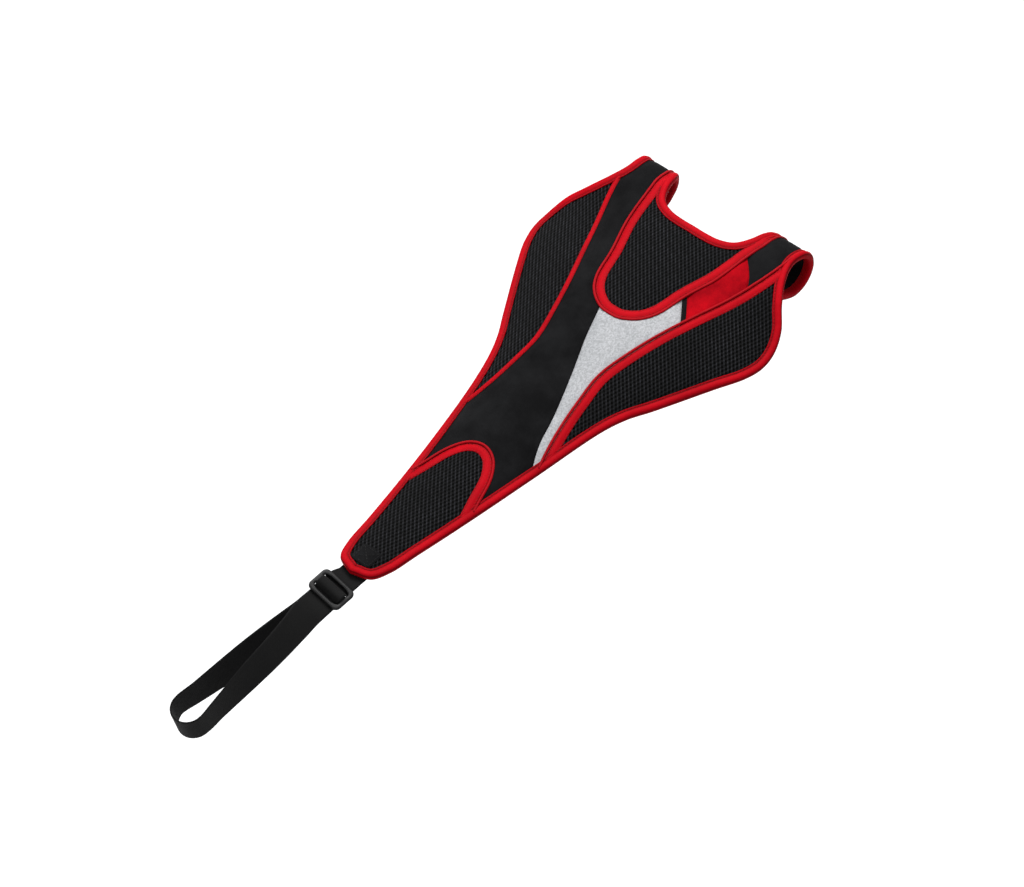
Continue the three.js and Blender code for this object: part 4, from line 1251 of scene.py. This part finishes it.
def slider_frame():
    """Moulded slider: a round-edged frame with two slots and a middle bar."""
    half_length = SLIDER_LENGTH / 2
    half_width = STRAP_WIDTH / 2 + GAP + SLIDER_RAIL
    slot_width = STRAP_WIDTH + 2 * GAP
    slot_length = half_length - SLIDER_RAIL - SLIDER_BAR / 2
    slot_middle = SLIDER_BAR / 2 + slot_length / 2
    rings = [
        rounded_patch(0, 0, SLIDER_LENGTH, 2 * half_width, SLIDER_CORNER, count=9),
        rounded_patch(slot_middle, 0, slot_length, slot_width, SLOT_CORNER, SLOT_CORNER_ACROSS, 9),
        rounded_patch(-slot_middle, 0, slot_length, slot_width, SLOT_CORNER, SLOT_CORNER_ACROSS, 9),
    ]
    edge, *slots = (resample(closed_line(ring), SLIDER_GRID[1])[:-1] for ring in rings)
    borders = [closed_line(line) for line in (edge, *slots)]

    def solid(points):
        return inside(points, edge) & ~inside(points, slots[0]) & ~inside(points, slots[1])

    grid = grid_within((-half_length, -half_width), (half_length, half_width), SLIDER_GRID, solid)
    grid = grid[distance_to(grid, borders) > 0.2]
    flat, cut = triangulate([edge, *slots], [], [grid], solid)
    inward = 1 - np.clip(distance_to(flat, borders) / SLIDER_EDGE_ROUND, 0, 1)
    high = SLIDER_EDGE_HALF + (SLIDER_THICK / 2 - SLIDER_EDGE_HALF) * np.sqrt(1 - inward**2)

    def placed(back, side, up):
        return np.array([from_slider(b, u, s) for b, s, u in zip(back, side, up)]) * MM

    return slab("slider_frame", flat, cut, high, -high, shape=placed)


dress(slider_frame(), plastic, "slider_plastic", "strap_slider")


# Every sheet of cloth but the black insert, its flat places read back

def declare_sheet(obj):
    """Reads a sheet's own flat places back from its mesh."""
    mesh = obj.data
    places = np.empty(3 * len(mesh.vertices), np.float32)
    mesh.attributes["flat"].data.foreach_get("vector", places)
    places = places.reshape(-1, 3)[:, :2].astype(float)


for name, obj in panels.items():
    if name != "black_insert":
        declare_sheet(obj)
declare_sheet(lining)
for label, tab in tabs.items():
    declare_sheet(tab)
for obj, rests_on in patches:
    declare_sheet(obj)


# Camera, light and floor

scene = bpy.context.scene
scene.view_settings.view_transform = "Standard"

PHOTO_WIDTH = 1024
FOCAL_PIXELS = 3418.24
SENSOR_WIDTH = 36
CAMERA_PLACE = (-1.73854, -1.37278, 2.02642)
CAMERA_RIGHT = (0.67869279, -0.73441689, -0.00281806)
CAMERA_UP = (0.53115724, 0.48819837, 0.69248418)
CAMERA_BACK = (-0.5071963, -0.47148085, 0.72142756)
FLOOR_Z = -0.926
FLOOR_HALF = 12
FLOOR_GREY = 0.62
FLOOR_GLOW = 0.68
WORLD_COLOUR = (0.95, 0.97, 1, 1)
WORLD_STRENGTH = 0.36
WHITE = (1, 1, 1, 1)
GUARD_MIDDLE = (-0.25, 0, -0.03)

camera_data = bpy.data.cameras.new("camera")
camera_data.sensor_width = SENSOR_WIDTH
camera_data.sensor_fit = "HORIZONTAL"
camera_data.lens = FOCAL_PIXELS * SENSOR_WIDTH / PHOTO_WIDTH
camera_data.clip_end = 50
camera = bpy.data.objects.new("camera", camera_data)
axes = (CAMERA_RIGHT, CAMERA_UP, CAMERA_BACK, CAMERA_PLACE)
camera.matrix_world = Matrix([*zip(*axes), (0, 0, 0, 1)])
scene.collection.objects.link(camera)
scene.camera = camera


def background_rays(nodes, links):
    """1 for the rays that see the background as white: camera, glossy and transmission rays."""
    path = nodes.new("ShaderNodeLightPath").outputs
    seen = maths(nodes, links, "MAXIMUM", path["Is Camera Ray"], path["Is Glossy Ray"])
    return maths(nodes, links, "MAXIMUM", seen, path["Is Transmission Ray"])


def mix_shaders(nodes, links, factor, first, second, end):
    """Sends the first shader to the output socket, or the second where the factor is 1."""
    mix = nodes.new("ShaderNodeMixShader")
    for socket, value in zip(mix.inputs, (factor, first.outputs[0], second.outputs[0])):
        links.new(value, socket)
    links.new(mix.outputs[0], end.inputs["Surface"])


def make_floor():
    """White to the camera, with the object's shadow kept."""
    mesh = bpy.data.meshes.new("floor")
    corners = [(x * FLOOR_HALF, y * FLOOR_HALF, FLOOR_Z) for x, y in ((-1, -1), (1, -1), (1, 1), (-1, 1))]
    mesh.from_pydata(corners, [], [(0, 1, 2, 3)])
    floor = bpy.data.objects.new("floor", mesh)
    scene.collection.objects.link(floor)
    material, nodes, links = new_material("floor")
    shader = nodes["Principled BSDF"]
    shader.inputs["Base Color"].default_value = (FLOOR_GREY, FLOOR_GREY, FLOOR_GREY, 1)
    shader.inputs["Roughness"].default_value = 0.9
    glow = node(nodes, "ShaderNodeEmission", in_Color=WHITE, in_Strength=FLOOR_GLOW)
    both = nodes.new("ShaderNodeAddShader")
    links.new(glow.outputs[0], both.inputs[0])
    links.new(shader.outputs[0], both.inputs[1])
    mix_shaders(nodes, links, background_rays(nodes, links), shader, both, nodes["Material Output"])
    mesh.materials.append(material)


def make_world():
    """Plain soft light all round, and white behind the object."""
    world = bpy.data.worlds.new("studio")
    world.use_nodes = True
    nodes, links = world.node_tree.nodes, world.node_tree.links
    plain = nodes["Background"]
    plain.inputs["Color"].default_value = WORLD_COLOUR
    plain.inputs["Strength"].default_value = WORLD_STRENGTH
    white = node(nodes, "ShaderNodeBackground", in_Color=WHITE, in_Strength=1.0)
    mix_shaders(nodes, links, background_rays(nodes, links), plain, white, nodes["World Output"])
    scene.world = world


def softbox(name, place, size, power):
    """A square area lamp that faces the middle of the guard."""
    data = bpy.data.lights.new(name, "AREA")
    data.shape = "RECTANGLE"
    data.size = size
    data.size_y = size
    data.energy = power
    light = bpy.data.objects.new(name, data)
    light.location = place
    light.rotation_euler = (Vector(GUARD_MIDDLE) - Vector(place)).to_track_quat("-Z", "Y").to_euler()
    scene.collection.objects.link(light)


make_floor()
make_world()
softbox("key", (0.5, 0.8, 2.2), 1.2, 58)
softbox("fill", (-1.8, 0.5, 1.3), 1.6, 7)
